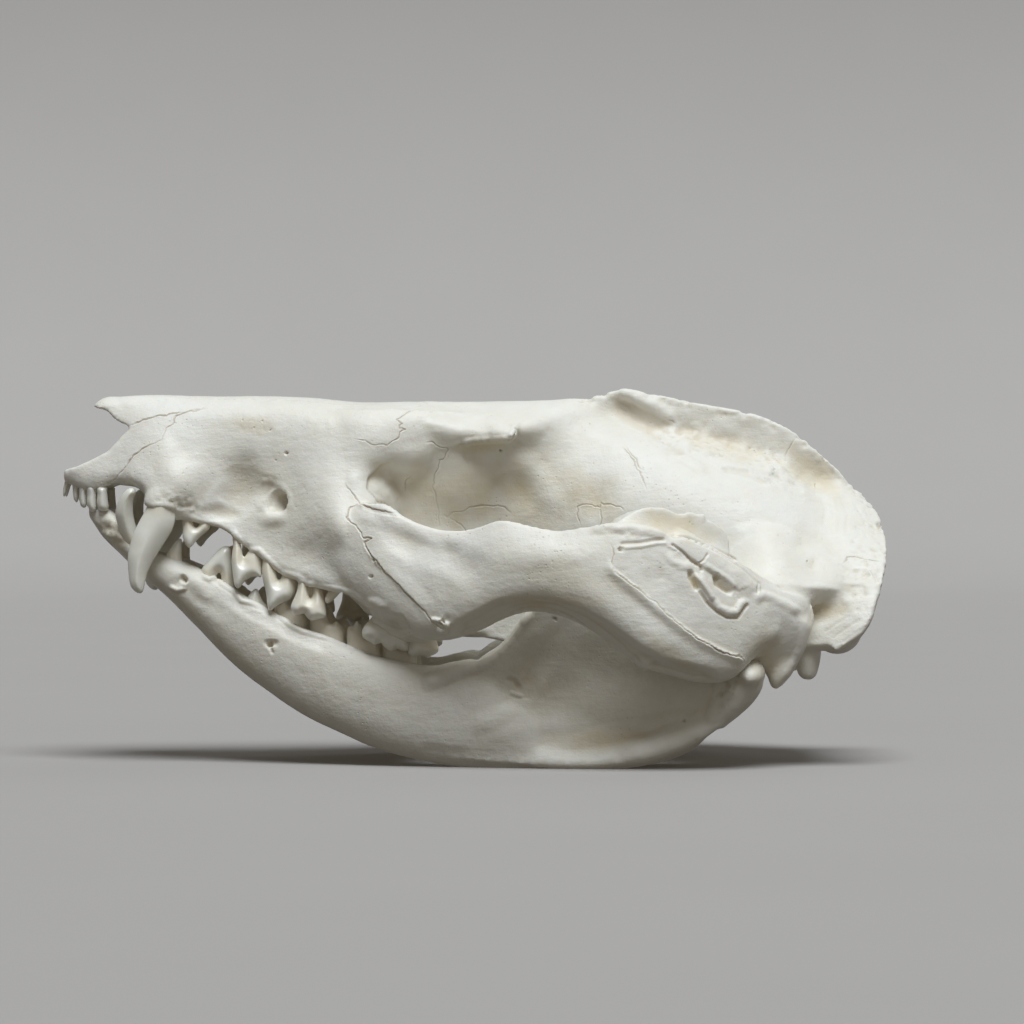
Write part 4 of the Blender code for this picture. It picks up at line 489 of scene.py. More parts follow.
# Raised and sunken (negative) lines: view, nearest and farthest, side, kind, half width, height, line
STROKES = [
    # Face
    ("side", 0, 24, None, "bell", 3.8, 0.65, [(-48.2, 39.8), (-45.2, 41.5), (-42.5, 43.8), (-39.9, 46.3)]),
    ("side", 0, 24, None, "bell", 3.6, -0.7, [
        (-37.0, 47.1), (-35.7, 44.6), (-35.5, 41.5), (-37.0, 38.3), (-39.5, 36.6)]),
    ("side", 0, 24, None, "bell", 1.5, 0.2, [(-33.0, 35.8), (-31.3, 36.4), (-29.4, 36.8), (-28.4, 36.6)]),
    ("side", 0, 24, None, "bell", 5.0, -0.35, [(-27.1, 35.4), (-25.0, 32.4), (-23.5, 29.5)]),
    ("side", 0, 24, None, "bell", 0.45, 0.25, [(-29.3, 32.3), (-28.9, 32.3)]),
    ("side", 0, 24, None, "bell", 0.8, 0.14, [
        (-49.4, 38.5), (-47.9, 38.6), (-46.3, 38.4), (-44.6, 37.5), (-43.1, 36.9), (-41.6, 36.0),
        (-39.9, 35.8), (-37.8, 35.8)]),
    ("side", 6, 24, None, "bell", 0.75, 0.3, [
        (-36.8, 34.9), (-35.5, 32.8), (-34.5, 31.8), (-32.8, 31.8), (-30.9, 29.9), (-29.4, 28.4),
        (-26.9, 27.8), (-25.6, 26.9), (-24.0, 26.5)]),
    ("side", 6, 24, None, "bell", 0.7, 0.3, [
        (-27.3, 27.2), (-24.4, 26.4), (-21.7, 26.1), (-19.1, 25.6), (-17.7, 24.5), (-16.5, 22.9),
        (-15.5, 21.9)]),
    ("side", 8, 24, None, "bell", 1.8, -0.6, [(-14.6, 20.8), (-11.5, 20.6), (-8.1, 20.1)]),
    ("side", 8, 24, None, "bell", 0.5, 0.25, [(-15.8, 21.6), (-13.6, 20.2), (-11.7, 19.6), (-9.6, 20.1)]),
    ("side", 8, 24, None, "bell", 0.4, 0.22, [(-13.9, 19.6), (-11.5, 19.1), (-9.6, 19.4)]),
    ("side", 8, 24, None, "bell", 1.0, 0.35, [(-17.0, 24.4), (-15.3, 24.0), (-13.4, 22.9)]),
    ("side", 0, 24, None, "bell", 0.75, 0.1, [
        (-32.9, 42.1), (-31.2, 42.3), (-29.3, 41.5), (-28.3, 40.0), (-28.2, 37.8)]),
    ("side", 0, 24, None, "bell", 2.4, -0.6, [(-33.2, 42.1), (-31.4, 41.1), (-29.8, 39.8)]),
    # Root of the cheek arch and the trough below the rim of the eye socket
    ("side", 10, 36, None, "bell", 3.4, -0.55, [
        (-15.5, 35.3), (-11.7, 34.1), (-8.2, 32.8), (-4.4, 31.2), (-1.3, 29.3), (1.9, 27.4)]),
    ("side", 10, 36, None, "bell", 1.6, 0.25, [
        (-18.6, 37.5), (-15.2, 36.6), (-11.7, 35.5), (-8.5, 34.1), (-5.4, 33.2), (-1.9, 33.1)]),
    ("side", 8, 36, None, "bell", 0.45, -0.15, [(-17.4, 38.5), (-15.5, 37.8), (-12.6, 37.2)]),
    ("side", 10, 34, None, "step", 2.6, 0.3, [
        (-17.0, 32.5), (-15.3, 30.1), (-12.9, 27.7), (-9.8, 24.7), (-7.2, 21.9)]),
    ("side", 14, 34, None, "bell", 0.5, 0.35, [
        (-7.2, 21.5), (-6.4, 21.5), (-5.5, 21.3), (-4.5, 20.6), (-4.8, 19.8), (-5.7, 19.8), (-6.3, 20.4)]),
    ("side", 14, 34, None, "bell", 3.0, 0.3, [(-10.5, 33.5), (-6.9, 31.1), (-4.3, 28.9)]),
    # Eye socket
    ("side", 4, 24, None, "step", 2.4, -0.45, [
        (-11.7, 45.9), (-14.5, 44.6), (-16.3, 42.7), (-16.6, 41.0), (-15.3, 38.9), (-12.9, 37.4)]),
    ("side", 4, 24, None, "bell", 1.6, 0.35, [(-14.8, 37.8), (-17.4, 39.7), (-18.3, 42.2), (-17.7, 44.1)]),
    ("side", 0, 20, None, "step", 5.0, -1.5, [
        (6.5, 51.4), (5.7, 49.8), (5.0, 48.4), (2.5, 48.2), (-0.0, 48.1), (-2.5, 47.7), (-5.1, 47.0)]),
    ("side", 0, 20, None, "bell", 0.8, 0.35, [
        (6.2, 50.9), (5.4, 49.3), (4.7, 48.6), (2.5, 48.4), (-0.0, 48.3), (-2.5, 47.9)]),
    ("side", 2, 20, None, "bell", 4.0, -0.6, [(2.2, 46.4), (4.1, 43.8), (6.2, 41.0), (7.7, 37.2)]),
    ("side", 2, 20, None, "bell", 3.0, 0.35, [
        (5.0, 47.0), (7.1, 44.6), (9.3, 41.9), (11.0, 38.9), (12.0, 36.6)]),
    ("side", 2, 20, None, "bell", 4.6, -0.7, [(14.5, 41.0), (18.3, 39.7), (21.5, 38.5)]),
    ("side", 0, 16, None, "bell", 2.2, 0.18, [
        (22.7, 55.0), (18.9, 54.3), (15.8, 53.5), (12.6, 52.5), (9.5, 51.1), (7.7, 50.0), (6.0, 49.8)]),
    ("side", 4, 24, None, "bell", 2.8, 1.1, [(-15.7, 43.1), (-14.9, 40.8), (-13.3, 38.5), (-11.0, 36.9)]),
    ("side", 0, 20, None, "bell", 3.2, 0.6, [(-13.3, 44.4), (-10.7, 45.0), (-7.8, 45.5), (-5.1, 45.7)]),
    # Crest and hindhead
    ("side", 0, 18, None, "bell", 2.2, -0.85, [
        (19.4, 54.9), (21.6, 53.7), (24.0, 51.8), (26.7, 50.1), (29.4, 49.5)]),
    ("side", 0, 16, None, "bell", 1.4, 0.45, [(20.4, 55.6), (23.7, 54.8), (26.7, 53.4), (30.1, 51.3)]),
    ("side", 0, 18, None, "bell", 4.0, -0.3, [(16.0, 53.4), (19.1, 52.2), (22.4, 50.8), (25.5, 49.4)]),
    ("side", 0, 18, None, "bell", 1.0, 0.3, [(25.5, 49.2), (27.4, 49.2), (29.4, 48.3), (32.5, 46.9)]),
    ("side", 0, 18, None, "bell", 0.9, 0.2, [(28.4, 45.7), (30.8, 45.8), (32.9, 44.5), (34.2, 43.2)]),
    ("side", 0, 18, None, "bell", 1.3, -0.25, [(27.1, 47.2), (29.4, 46.9), (31.5, 46.2)]),
    ("side", 0, 18, None, "bell", 1.6, 0.22, [(34.2, 51.0), (36.9, 50.5), (39.7, 49.3)]),
    ("side", 0, 18, None, "bell", 4.4, -0.35, [(33.5, 48.6), (37.6, 48.3), (41.0, 47.2), (44.1, 46.2)]),
    ("side", 0, 18, None, "bell", 3.6, -0.3, [(48.5, 44.5), (51.6, 43.2), (54.7, 41.4)]),
    ("side", 0, 18, None, "bell", 0.9, -0.2, [(36.3, 44.2), (40.4, 43.2), (44.1, 41.8)]),
    ("side", 0, 18, None, "bell", 1.1, 0.18, [(47.9, 41.1), (50.6, 40.1), (54.0, 39.6)]),
    ("side", 0, 18, None, "bell", 1.4, 0.15, [(37.6, 34.3), (41.0, 35.5), (45.1, 35.0), (48.5, 33.3)]),
    ("side", 0, 18, None, "bell", 1.2, -0.2, [(49.4, 30.9), (50.2, 29.9), (51.6, 30.9)]),
    ("side", 0, 18, None, "step", 4.5, 0.25, [
        (34.4, 44.5), (38.7, 44.2), (42.3, 43.6), (44.8, 43.0), (47.8, 41.9), (50.9, 40.7), (54.9, 40.4),
        (56.7, 40.9)]),
    ("side", 0, 18, None, "bell", 3.0, -0.3, [(46.3, 45.2), (49.4, 43.0), (53.1, 41.8), (55.8, 41.6)]),
    ("side", 0, 22, None, "bell", 3.4, -0.3, [(47.8, 36.0), (49.1, 32.9), (49.4, 29.8)]),
    ("side", 0, 24, None, "bell", 0.5, -0.05, [(51.5, 40.3), (52.1, 37.8), (51.8, 35.4)]),
    ("side", 0, 24, None, "bell", 0.5, -0.05, [(54.3, 40.0), (55.5, 37.2), (55.2, 34.1)]),
    ("side", 0, 24, None, "bell", 0.45, -0.05, [(56.4, 39.0), (58.0, 36.3), (58.3, 33.5)]),
    ("side", 0, 24, None, "bell", 0.5, 0.05, [(53.1, 40.0), (53.8, 37.2), (53.5, 34.1)]),
    ("side", 8, 28, None, "bell", 0.4, -0.06, [(51.8, 19.4), (53.7, 20.7), (56.1, 22.2)]),
    ("side", 8, 28, None, "bell", 0.4, -0.06, [(53.1, 18.5), (55.2, 20.1), (57.6, 21.6)]),
    ("side", 8, 28, None, "bell", 0.4, -0.06, [(54.6, 17.9), (56.7, 19.4), (58.6, 20.7)]),
    ("side", 8, 30, None, "bell", 1.0, 0.35, [
        (41.2, 24.3), (42.9, 25.2), (44.3, 24.8), (46.2, 23.8), (48.6, 22.4)]),
    ("side", 8, 30, None, "bell", 1.0, 0.3, [
        (48.9, 22.2), (49.2, 20.4), (48.5, 17.3), (47.2, 14.5), (46.0, 12.1)]),
    ("side", 8, 30, None, "bell", 2.4, -0.3, [(43.0, 23.1), (44.8, 21.0), (46.3, 18.2)]),
    # Cheek arch
    ("side", 24, 40, None, "step", 1.6, 0.35, [
        (40.8, 15.2), (38.7, 16.2), (33.8, 18.4), (31.3, 20.1), (29.2, 21.7), (27.0, 23.7), (24.6, 25.7),
        (22.4, 27.4), (20.5, 29.0), (19.8, 30.8)]),
    ("side", 24, 40, "left", "bell", 0.45, -0.22, [
        (21.2, 32.8), (22.4, 32.9), (24.6, 33.0), (26.7, 33.4), (28.3, 33.5)]),
    ("side", 24, 40, "left", "bell", 0.4, 0.14, [(21.8, 32.2), (24.6, 32.4), (27.0, 32.9), (28.6, 32.9)]),
    ("side", 22, 40, None, "bell", 1.0, 0.25, [
        (16.6, 34.9), (19.4, 35.3), (23.4, 35.1), (26.4, 34.6), (28.3, 34.0)]),
    ("side", 24, 40, None, "bell", 1.3, 0.5, [(23.1, 15.0), (24.9, 14.4), (26.7, 13.9)]),
    ("side", 24, 40, None, "bell", 3.6, 0.35, [
        (13.6, 26.5), (17.2, 25.0), (20.9, 22.2), (25.5, 18.8), (30.1, 16.4)]),
    ("side", 24, 40, "left", "bell", 3.4, -0.3, [(24.0, 29.2), (27.0, 27.1), (30.1, 24.6), (33.8, 21.6)]),
    ("side", 14, 40, None, "bell", 2.1, -0.95, [
        (-3.9, 19.1), (-0.9, 20.4), (1.6, 21.8), (3.8, 22.8), (7.0, 23.1), (11.3, 22.8), (15.5, 21.3),
        (19.8, 18.8), (23.6, 16.2), (27.0, 14.1), (30.5, 13.3), (33.4, 12.6), (36.4, 11.9)]),
    # Healed bone of the left side
    ("side", 18, 40, "left", "round", 1.7, 0.5, [
        (28.8, 34.1), (31.2, 32.9), (33.7, 31.3), (36.6, 29.6), (39.1, 28.0), (40.8, 26.5), (40.7, 24.7)]),
    ("side", 18, 40, "left", "bell", 0.95, 0.42, [
        (33.1, 28.5), (34.0, 26.6), (35.0, 24.8), (36.2, 23.3), (37.7, 22.6), (38.9, 22.6), (39.6, 23.8),
        (40.7, 24.7)]),
    ("side", 18, 40, "left", "bell", 0.95, 0.22, [(28.2, 31.5), (29.3, 30.2), (30.9, 29.5), (32.6, 29.3)]),
    ("side", 18, 40, "left", "bell", 0.6, 0.28, [(32.4, 28.5), (33.6, 27.2), (34.7, 25.7), (35.6, 24.2)]),
    ("side", 18, 40, "left", "bell", 0.7, 0.22, [(34.0, 29.8), (35.6, 28.8), (37.5, 27.6), (38.9, 26.0)]),
    ("side", 18, 40, "left", "bell", 0.35, -0.32, [
        (29.0, 32.9), (30.6, 31.7), (32.1, 30.3), (33.5, 29.4), (33.7, 28.5)]),
    ("side", 18, 40, "left", "bell", 0.35, -0.28, [
        (33.1, 26.0), (34.3, 24.1), (35.8, 22.7), (37.5, 21.7), (39.1, 21.7), (40.1, 23.1), (40.7, 23.9)]),
    ("side", 18, 40, "left", "bell", 0.3, -0.2, [
        (30.2, 34.1), (32.4, 33.5), (35.0, 32.1), (37.5, 30.7), (40.0, 29.0), (42.2, 26.9), (42.0, 25.2)]),
    ("side", 18, 40, "left", "bell", 0.75, -0.8, [(35.7, 28.5), (36.1, 26.9), (37.2, 26.1), (38.4, 25.4)]),
    ("side", 18, 40, "left", "bell", 0.65, -0.8, [(31.9, 29.0), (32.1, 27.7), (32.8, 26.5), (33.2, 25.7)]),
    ("side", 18, 40, "left", "bell", 0.25, -0.2, [(33.1, 29.8), (34.0, 30.4), (34.7, 31.5)]),
    ("side", 14, 40, "left", "bell", 0.4, -0.25, [
        (29.0, 34.1), (31.8, 33.7), (34.3, 32.6), (36.9, 31.4), (38.9, 30.3)]),
]
JAW_STROKES = [
    # Chewing muscle's hollow, its front ridge and the shelf below it
    ("side", 10, 32, None, "bell", 1.5, 0.75, [
        (7.9, 22.9), (6.3, 21.2), (4.7, 19.0), (3.0, 17.0), (0.9, 15.4), (-2.0, 14.2), (-5.2, 12.9),
        (-8.4, 11.7)]),
    ("side", 10, 32, None, "bell", 3.6, -0.7, [
        (10.0, 19.0), (8.3, 15.9), (6.6, 13.2), (5.2, 9.7), (5.9, 7.3)]),
    ("side", 10, 32, None, "bell", 2.2, -0.2, [
        (7.9, 4.5), (10.7, 3.9), (14.8, 3.0), (19.6, 3.5), (24.5, 4.9), (30.0, 6.6)]),
    ("side", 10, 32, None, "bell", 2.4, 0.5, [
        (6.6, 1.3), (10.7, 0.2), (15.2, -0.4), (17.6, 0.0), (21.0, 0.9), (25.8, 2.3), (31.0, 4.3),
        (34.8, 6.1)]),
    ("side", 10, 32, None, "bell", 2.8, 0.6, [
        (21.0, 0.8), (25.8, 1.8), (30.3, 3.4), (34.8, 5.6), (37.2, 7.3)]),
    ("side", 10, 32, None, "bell", 2.6, 0.18, [(-0.7, 5.2), (2.4, 4.9), (5.9, 4.5), (7.9, 4.2)]),
    ("side", 10, 32, None, "bell", 0.5, 0.3, [(4.7, 10.7), (5.9, 10.2), (7.1, 9.8)]),
    ("side", 10, 32, None, "bell", 0.7, -0.3, [(4.1, 12.8), (5.5, 12.3), (6.6, 10.7)]),
    ("side", 10, 32, None, "bell", 1.4, -0.12, [(-8.6, 2.1), (-5.2, 1.8), (-0.7, 0.8)]),
    ("side", 12, 34, None, "bell", 0.9, 0.3, [(36.5, 12.0), (35.8, 9.7), (35.1, 7.3), (34.6, 5.6)]),
    # Lip of the tooth sockets
    ("side", 2, 18, None, "bell", 0.55, 0.35, [
        (-41.6, 28.0), (-40.2, 27.5), (-38.8, 28.0), (-38.4, 26.9), (-36.5, 25.7), (-35.4, 24.3),
        (-33.7, 23.9), (-31.6, 23.1), (-29.6, 22.0), (-28.0, 20.6), (-26.3, 19.7), (-23.7, 19.0),
        (-21.3, 18.4), (-17.9, 17.2)]),
    ("side", 2, 18, None, "bell", 1.2, -0.2, [
        (-41.6, 26.5), (-39.4, 25.6), (-36.8, 24.1), (-33.7, 22.2), (-30.8, 21.0), (-28.2, 19.4),
        (-25.3, 18.2), (-22.0, 17.2)]),
    ("side", 2, 18, None, "bell", 0.7, -0.4, [(-32.2, 17.8), (-31.3, 18.0), (-29.6, 17.9)]),
    ("side", 2, 18, None, "bell", 0.4, -0.25, [(-31.4, 17.7), (-31.0, 17.0), (-30.6, 16.2)]),
    ("side", 2, 18, None, "bell", 1.6, 0.3, [(-43.3, 28.2), (-41.6, 26.1), (-39.1, 24.2)]),
    ("side", 2, 18, None, "bell", 1.5, -0.5, [(-46.0, 27.8), (-45.0, 27.1), (-44.2, 26.1)]),
    ("side", 2, 18, None, "bell", 0.5, 0.35, [(-46.3, 26.5), (-45.0, 25.9), (-43.9, 26.1), (-43.7, 27.4)]),
]

# Teeth in side view: name, y, half thickness, reach of the rounded rim, lean, height of the neck, outline
UPPER_OUTLINES = [
    ("I1", -1.5, 0.6, 0.8, 0.0, 0, [
        (-61.6, 43.3), (-61.8, 42.6), (-62.1, 41.4), (-62.2, 40.3), (-62.0, 39.8), (-61.7, 40.2),
        (-61.4, 41.2), (-61.1, 42.1), (-60.8, 43.1)]),
    ("I2", -3.2, 0.75, 0.8, 0.0, 0, [
        (-60.7, 42.1), (-60.7, 40.7), (-60.6, 39.7), (-60.3, 39.1), (-60.0, 39.0), (-59.8, 39.6),
        (-59.7, 40.7), (-59.7, 41.9)]),
    ("I3", -4.4, 0.8, 0.8, 0.0, 0, [
        (-59.7, 41.9), (-59.7, 40.6), (-59.7, 39.4), (-59.5, 38.5), (-59.0, 38.2), (-58.6, 38.5),
        (-58.6, 39.4), (-58.6, 40.6), (-58.6, 41.7)]),
    ("I4", -5.2, 0.9, 0.9, 0.0, 0, [
        (-58.5, 41.6), (-58.5, 40.2), (-58.6, 39.1), (-58.3, 38.1), (-57.8, 37.6), (-57.3, 37.7),
        (-57.1, 38.3), (-57.1, 39.4), (-57.1, 40.6), (-57.1, 41.6)]),
    ("I5", -5.9, 0.95, 0.9, 0.0, 0, [
        (-57.0, 41.4), (-57.0, 40.2), (-57.1, 39.1), (-56.9, 38.1), (-56.3, 37.7), (-55.5, 37.8),
        (-55.3, 38.4), (-55.4, 39.4), (-55.5, 40.6), (-55.6, 41.4)]),
    ("canine", -11.6, 1.75, 2.5, 0.13, 37.9, [
        (-48.3, 41.4), (-49.1, 39.6), (-49.5, 38.7), (-50.0, 37.6), (-50.8, 36.1), (-51.6, 34.4),
        (-52.1, 32.6), (-52.4, 30.9), (-52.3, 28.9), (-52.1, 27.1), (-51.6, 26.0), (-50.7, 25.4),
        (-50.1, 25.6), (-49.8, 26.8), (-49.5, 28.2), (-48.8, 29.9), (-47.8, 31.6), (-46.8, 33.2),
        (-45.9, 34.7), (-45.4, 36.1), (-45.3, 37.1), (-45.3, 38.6), (-45.3, 40.9)]),
    ("P1", -9.9, 0.85, 1.0, 0.2, 35.2, [
        (-44.3, 37.6), (-44.2, 35.4), (-44.2, 33.9), (-43.8, 32.8), (-43.2, 32.2), (-42.7, 32.5),
        (-42.1, 33.3), (-41.3, 34.1), (-40.5, 34.7), (-40.1, 35.3), (-39.9, 36.9), (-41.1, 37.1),
        (-41.6, 35.9), (-42.2, 35.2), (-42.6, 35.9), (-42.9, 37.2)]),
    ("P2", -10.6, 1.25, 1.3, 0.24, 30.3, [
        (-36.5, 35.7), (-36.8, 34.4), (-36.7, 32.4), (-36.9, 30.7), (-36.8, 29.4), (-36.6, 27.9),
        (-36.4, 26.7), (-36.0, 26.2), (-35.7, 26.2), (-35.2, 26.7), (-34.7, 27.3), (-33.9, 27.8),
        (-33.1, 27.9), (-32.4, 27.8), (-32.3, 28.7), (-32.3, 29.9), (-32.3, 31.2), (-32.5, 32.7),
        (-33.8, 32.7), (-34.4, 31.7), (-34.9, 30.8), (-35.1, 30.1), (-35.2, 30.8), (-35.3, 31.9),
        (-35.6, 33.2), (-35.7, 34.7)]),
    ("P3", -11.8, 1.4, 1.4, 0.24, 27.5, [
        (-32.0, 32.4), (-32.2, 30.8), (-32.3, 29.2), (-32.2, 27.5), (-31.9, 26.3), (-31.6, 25.0),
        (-31.5, 23.8), (-31.2, 22.9), (-30.8, 22.9), (-30.3, 23.3), (-29.6, 23.8), (-28.8, 24.2),
        (-28.0, 24.5), (-27.4, 25.3), (-27.1, 26.4), (-27.1, 27.7), (-27.1, 29.2), (-28.5, 29.2),
        (-29.3, 28.1), (-29.8, 27.1), (-30.1, 28.2), (-30.5, 29.7), (-31.0, 31.4)]),
    ("M1", -13.8, 1.5, 1.3, 0.22, 24.0, [
        (-26.7, 28.2), (-27.0, 26.1), (-27.5, 24.7), (-27.9, 23.8), (-28.0, 23.1), (-27.7, 22.5),
        (-27.1, 22.1), (-26.6, 22.2), (-26.0, 22.4), (-25.6, 21.9), (-25.1, 21.4), (-24.3, 21.4),
        (-23.6, 21.6), (-22.8, 21.8), (-22.6, 22.3), (-22.7, 23.2), (-22.8, 24.0), (-23.1, 25.2),
        (-23.2, 26.5), (-23.3, 28.2), (-24.4, 28.2), (-24.6, 26.4), (-24.7, 25.2), (-25.0, 24.4),
        (-25.2, 24.9), (-25.4, 26.1), (-25.4, 28.2)]),
    ("M3", -17.0, 1.7, 1.5, 0.0, 20.8, [
        (-14.9, 23.2), (-16.0, 21.6), (-16.9, 20.6), (-17.3, 19.8), (-17.3, 19.0), (-16.8, 18.5),
        (-16.2, 18.2), (-15.6, 17.7), (-14.9, 17.8), (-14.4, 18.0), (-14.0, 17.4), (-13.2, 16.8),
        (-12.6, 16.8), (-12.0, 17.1), (-11.4, 16.8), (-10.6, 16.7), (-10.2, 17.2), (-10.3, 18.7),
        (-11.1, 20.5), (-13.1, 22.3)]),
    ("M4", -17.0, 1.5, 1.2, 0.0, 18.4, [
        (-10.2, 19.3), (-10.3, 17.7), (-10.4, 16.5), (-10.1, 16.0), (-9.5, 15.9), (-8.6, 16.1),
        (-7.5, 15.9), (-6.5, 16.2), (-5.9, 16.6), (-5.8, 17.1), (-6.0, 18.0), (-6.5, 19.3), (-8.6, 20.2)]),
]
LOWER_OUTLINES = [
    ("canine", -8.0, 1.3, 1.7, -0.18, 33.6, [
        (-51.6, 41.2), (-52.3, 41.1), (-52.9, 40.6), (-53.5, 39.8), (-54.0, 38.7), (-54.3, 37.4),
        (-54.1, 36.2), (-53.8, 35.1), (-53.3, 33.7), (-52.6, 31.9), (-51.8, 30.1), (-49.1, 30.1),
        (-49.8, 32.2), (-50.7, 34.2), (-51.2, 35.6), (-51.5, 36.9), (-51.6, 38.2), (-51.5, 39.4),
        (-51.1, 40.4), (-51.2, 40.9)]),
    ("p1", -7.4, 0.8, 1.0, 0.0, 31.6, [
        (-46.8, 30.4), (-46.5, 31.6), (-45.9, 32.4), (-45.3, 33.2), (-44.6, 33.7), (-44.3, 33.5),
        (-44.3, 32.4), (-44.3, 30.9), (-44.4, 29.2), (-46.6, 29.2)]),
    ("p2", -8.6, 1.15, 1.3, 0.0, 28.7, [
        (-41.6, 27.4), (-41.5, 28.4), (-41.3, 29.2), (-40.8, 29.8), (-40.2, 30.5), (-39.6, 31.2),
        (-38.9, 31.9), (-38.2, 32.4), (-37.5, 32.5), (-37.1, 32.4), (-36.9, 31.8), (-36.9, 30.7),
        (-36.8, 29.4), (-36.6, 27.8), (-36.5, 26.2), (-36.4, 24.2), (-38.1, 24.2), (-38.3, 26.5),
        (-38.5, 28.2), (-38.8, 28.7), (-39.0, 28.2), (-39.3, 27.2), (-39.6, 25.9), (-41.2, 25.9)]),
    ("p3", -9.6, 1.15, 1.2, 0.0, 23.8, [
        (-35.0, 23.7), (-34.6, 24.7), (-34.0, 25.5), (-33.4, 26.1), (-33.0, 26.1), (-32.7, 25.5),
        (-32.3, 24.5), (-31.6, 23.7), (-31.0, 22.8), (-31.0, 20.9), (-34.7, 20.9)]),
]


def spline(knots, values, at):
    """Smooth curve through the values at the knots, read at the given places."""
    knots = np.asarray(knots, float)
    values = np.asarray(values, float)
    at = np.clip(np.asarray(at, float), knots[0], knots[-1])
    slopes = np.gradient(values, knots, axis=0)
    i = np.clip(np.searchsorted(knots, at, side="right") - 1, 0, len(knots) - 2)
    shape = (-1,) + (1,) * (values.ndim - 1)
    span = (knots[i + 1] - knots[i]).reshape(shape)
    t = (at - knots[i]).reshape(shape) / span
    start = (2 * t**3 - 3 * t**2 + 1) * values[i] + (t**3 - 2 * t**2 + t) * slopes[i] * span
    end = (3 * t**2 - 2 * t**3) * values[i + 1] + (t**3 - t**2) * slopes[i + 1] * span
    return start + end


def closed_curve(points, per_span):
    """Smooth closed ring through the points."""
    p = np.asarray(points, float)
    t = (np.arange(per_span) / per_span)[:, None]
    spans = []
    for i in range(len(p)):
        a, b, c, d = p[i - 1], p[i], p[(i + 1) % len(p)], p[(i + 2) % len(p)]
        start = (2 * t**3 - 3 * t**2 + 1) * b + (t**3 - 2 * t**2 + t) * (c - a) / 2
        spans.append(start + (3 * t**2 - 2 * t**3) * c + (t**3 - t**2) * (d - b) / 2)
    return np.concatenate(spans)


def new_object(name, verts, faces):
    """Mesh object from points in millimetres, with its faces turned outwards."""
    mesh = bpy.data.meshes.new(name)
    mesh.from_pydata([tuple(v) for v in np.asarray(verts, float)], [], faces)
    bm = bmesh.new()
    bm.from_mesh(mesh)
    bmesh.ops.triangulate(bm, faces=bm.faces)
    bmesh.ops.recalc_face_normals(bm, faces=bm.faces)
    bm.to_mesh(mesh)
    bm.free()
    obj = bpy.data.objects.new(name, mesh)
    bpy.context.scene.collection.objects.link(obj)
    return obj


def skin(name, rings):
    """Closed body through rings of equal length, capped at both ends."""
    rings = np.asarray(rings, float)
    m, n = rings.shape[:2]
    faces = []
    for i in range(m - 1):
        for j in range(n):
            k = (j + 1) % n
            faces.append((i * n + j, i * n + k, (i + 1) * n + k, (i + 1) * n + j))
    faces.append(tuple(range(n - 1, -1, -1)))
    faces.append(tuple((m - 1) * n + j for j in range(n)))
    return new_object(name, rings.reshape(-1, 3), faces)


def hull(name, table, step=0.6, per_span=6):
    """Body that is the same on both sides of y = 0, through the sections of the table."""
    table = np.asarray(table, float)
    count = int(round((table[-1, 0] - table[0, 0]) / step)) + 1
    xs = np.linspace(table[0, 0], table[-1, 0], count)
    rings = []
    for x, row in zip(xs, spline(table[:, 0], table[:, 1:], xs)):
        half = row.reshape(-1, 2)
        half[0, 0] = half[-1, 0] = 0.0
        points = [(-w, z) for w, z in half] + [(w, z) for w, z in half[-2:0:-1]]
        ring = closed_curve(points, per_span)
        rings.append(np.column_stack([np.full(len(ring), x), ring]))
    return skin(name, rings)


def sheet(name, grid, half, along=60, across=24):
    """Curved plate through a grid of points, with half its thickness given at each one."""
    grid = np.asarray(grid, float)
    half = np.broadcast_to(np.asarray(half, float), grid.shape[:2])
    m, n = grid.shape[:2]
    both = np.concatenate([grid, half[..., None]], axis=2)
    both = spline(np.arange(m), both, np.linspace(0, m - 1, along))
    both = spline(np.arange(n), np.swapaxes(both, 0, 1), np.linspace(0, n - 1, across))
    both = np.swapaxes(both, 0, 1)
    p, t = both[..., :3], np.maximum(both[..., 3:], 0.05)
    normal = np.cross(np.gradient(p, axis=0), np.gradient(p, axis=1))
    normal /= np.linalg.norm(normal, axis=2, keepdims=True) + 1e-9
    rings = np.concatenate([p + normal * t, (p - normal * t)[:, ::-1]], axis=1)
    return skin(name, rings)


def rod(name, path, half, side=(0, 1, 0), rings=24, around=24, power=2.0):
    """Tapered rod along a smooth path. Each half size is (along side, across it)."""
    path, half = np.asarray(path, float), np.asarray(half, float)
    k = np.arange(len(path))
    at = np.linspace(0, len(path) - 1, rings)
    p, s = spline(k, path, at), np.maximum(spline(k, half, at), 0.03)
    tangent = np.gradient(p, axis=0)
    tangent /= np.linalg.norm(tangent, axis=1, keepdims=True)
    side = np.asarray(side, float)
    u = side - tangent * (tangent @ side)[:, None]
    u /= np.linalg.norm(u, axis=1, keepdims=True)
    v = np.cross(tangent, u)
    a = np.linspace(0, 2 * math.pi, around, endpoint=False)
    ca = np.sign(np.cos(a)) * np.abs(np.cos(a)) ** (2 / power)
    sa = np.sign(np.sin(a)) * np.abs(np.sin(a)) ** (2 / power)
    out = p[:, None] + u[:, None] * (ca[None, :, None] * s[:, :1, None])
    return skin(name, out + v[:, None] * (sa[None, :, None] * s[:, 1:, None]))


def ball(name, centre, radii, segments=32, rings=20):
    """Closed ellipsoid."""
    polar = np.linspace(0, math.pi, rings + 1)[1:-1]
    turn = np.linspace(0, 2 * math.pi, segments, endpoint=False)
    out = []
    for t in polar:
        ring = np.column_stack([
            np.full(segments, math.cos(t) * radii[0]),
            math.sin(t) * np.cos(turn) * radii[1],
            math.sin(t) * np.sin(turn) * radii[2],
        ])
        out.append(ring + np.asarray(centre, float))
    return skin(name, out)


def prism(name, outline, y_from, y_to):
    """Straight body with the given outline in side view."""
    x, z = np.asarray(outline, float).T
    rings = [np.column_stack([x, np.full(len(x), y), z]) for y in (y_from, y_to)]
    return skin(name, rings)


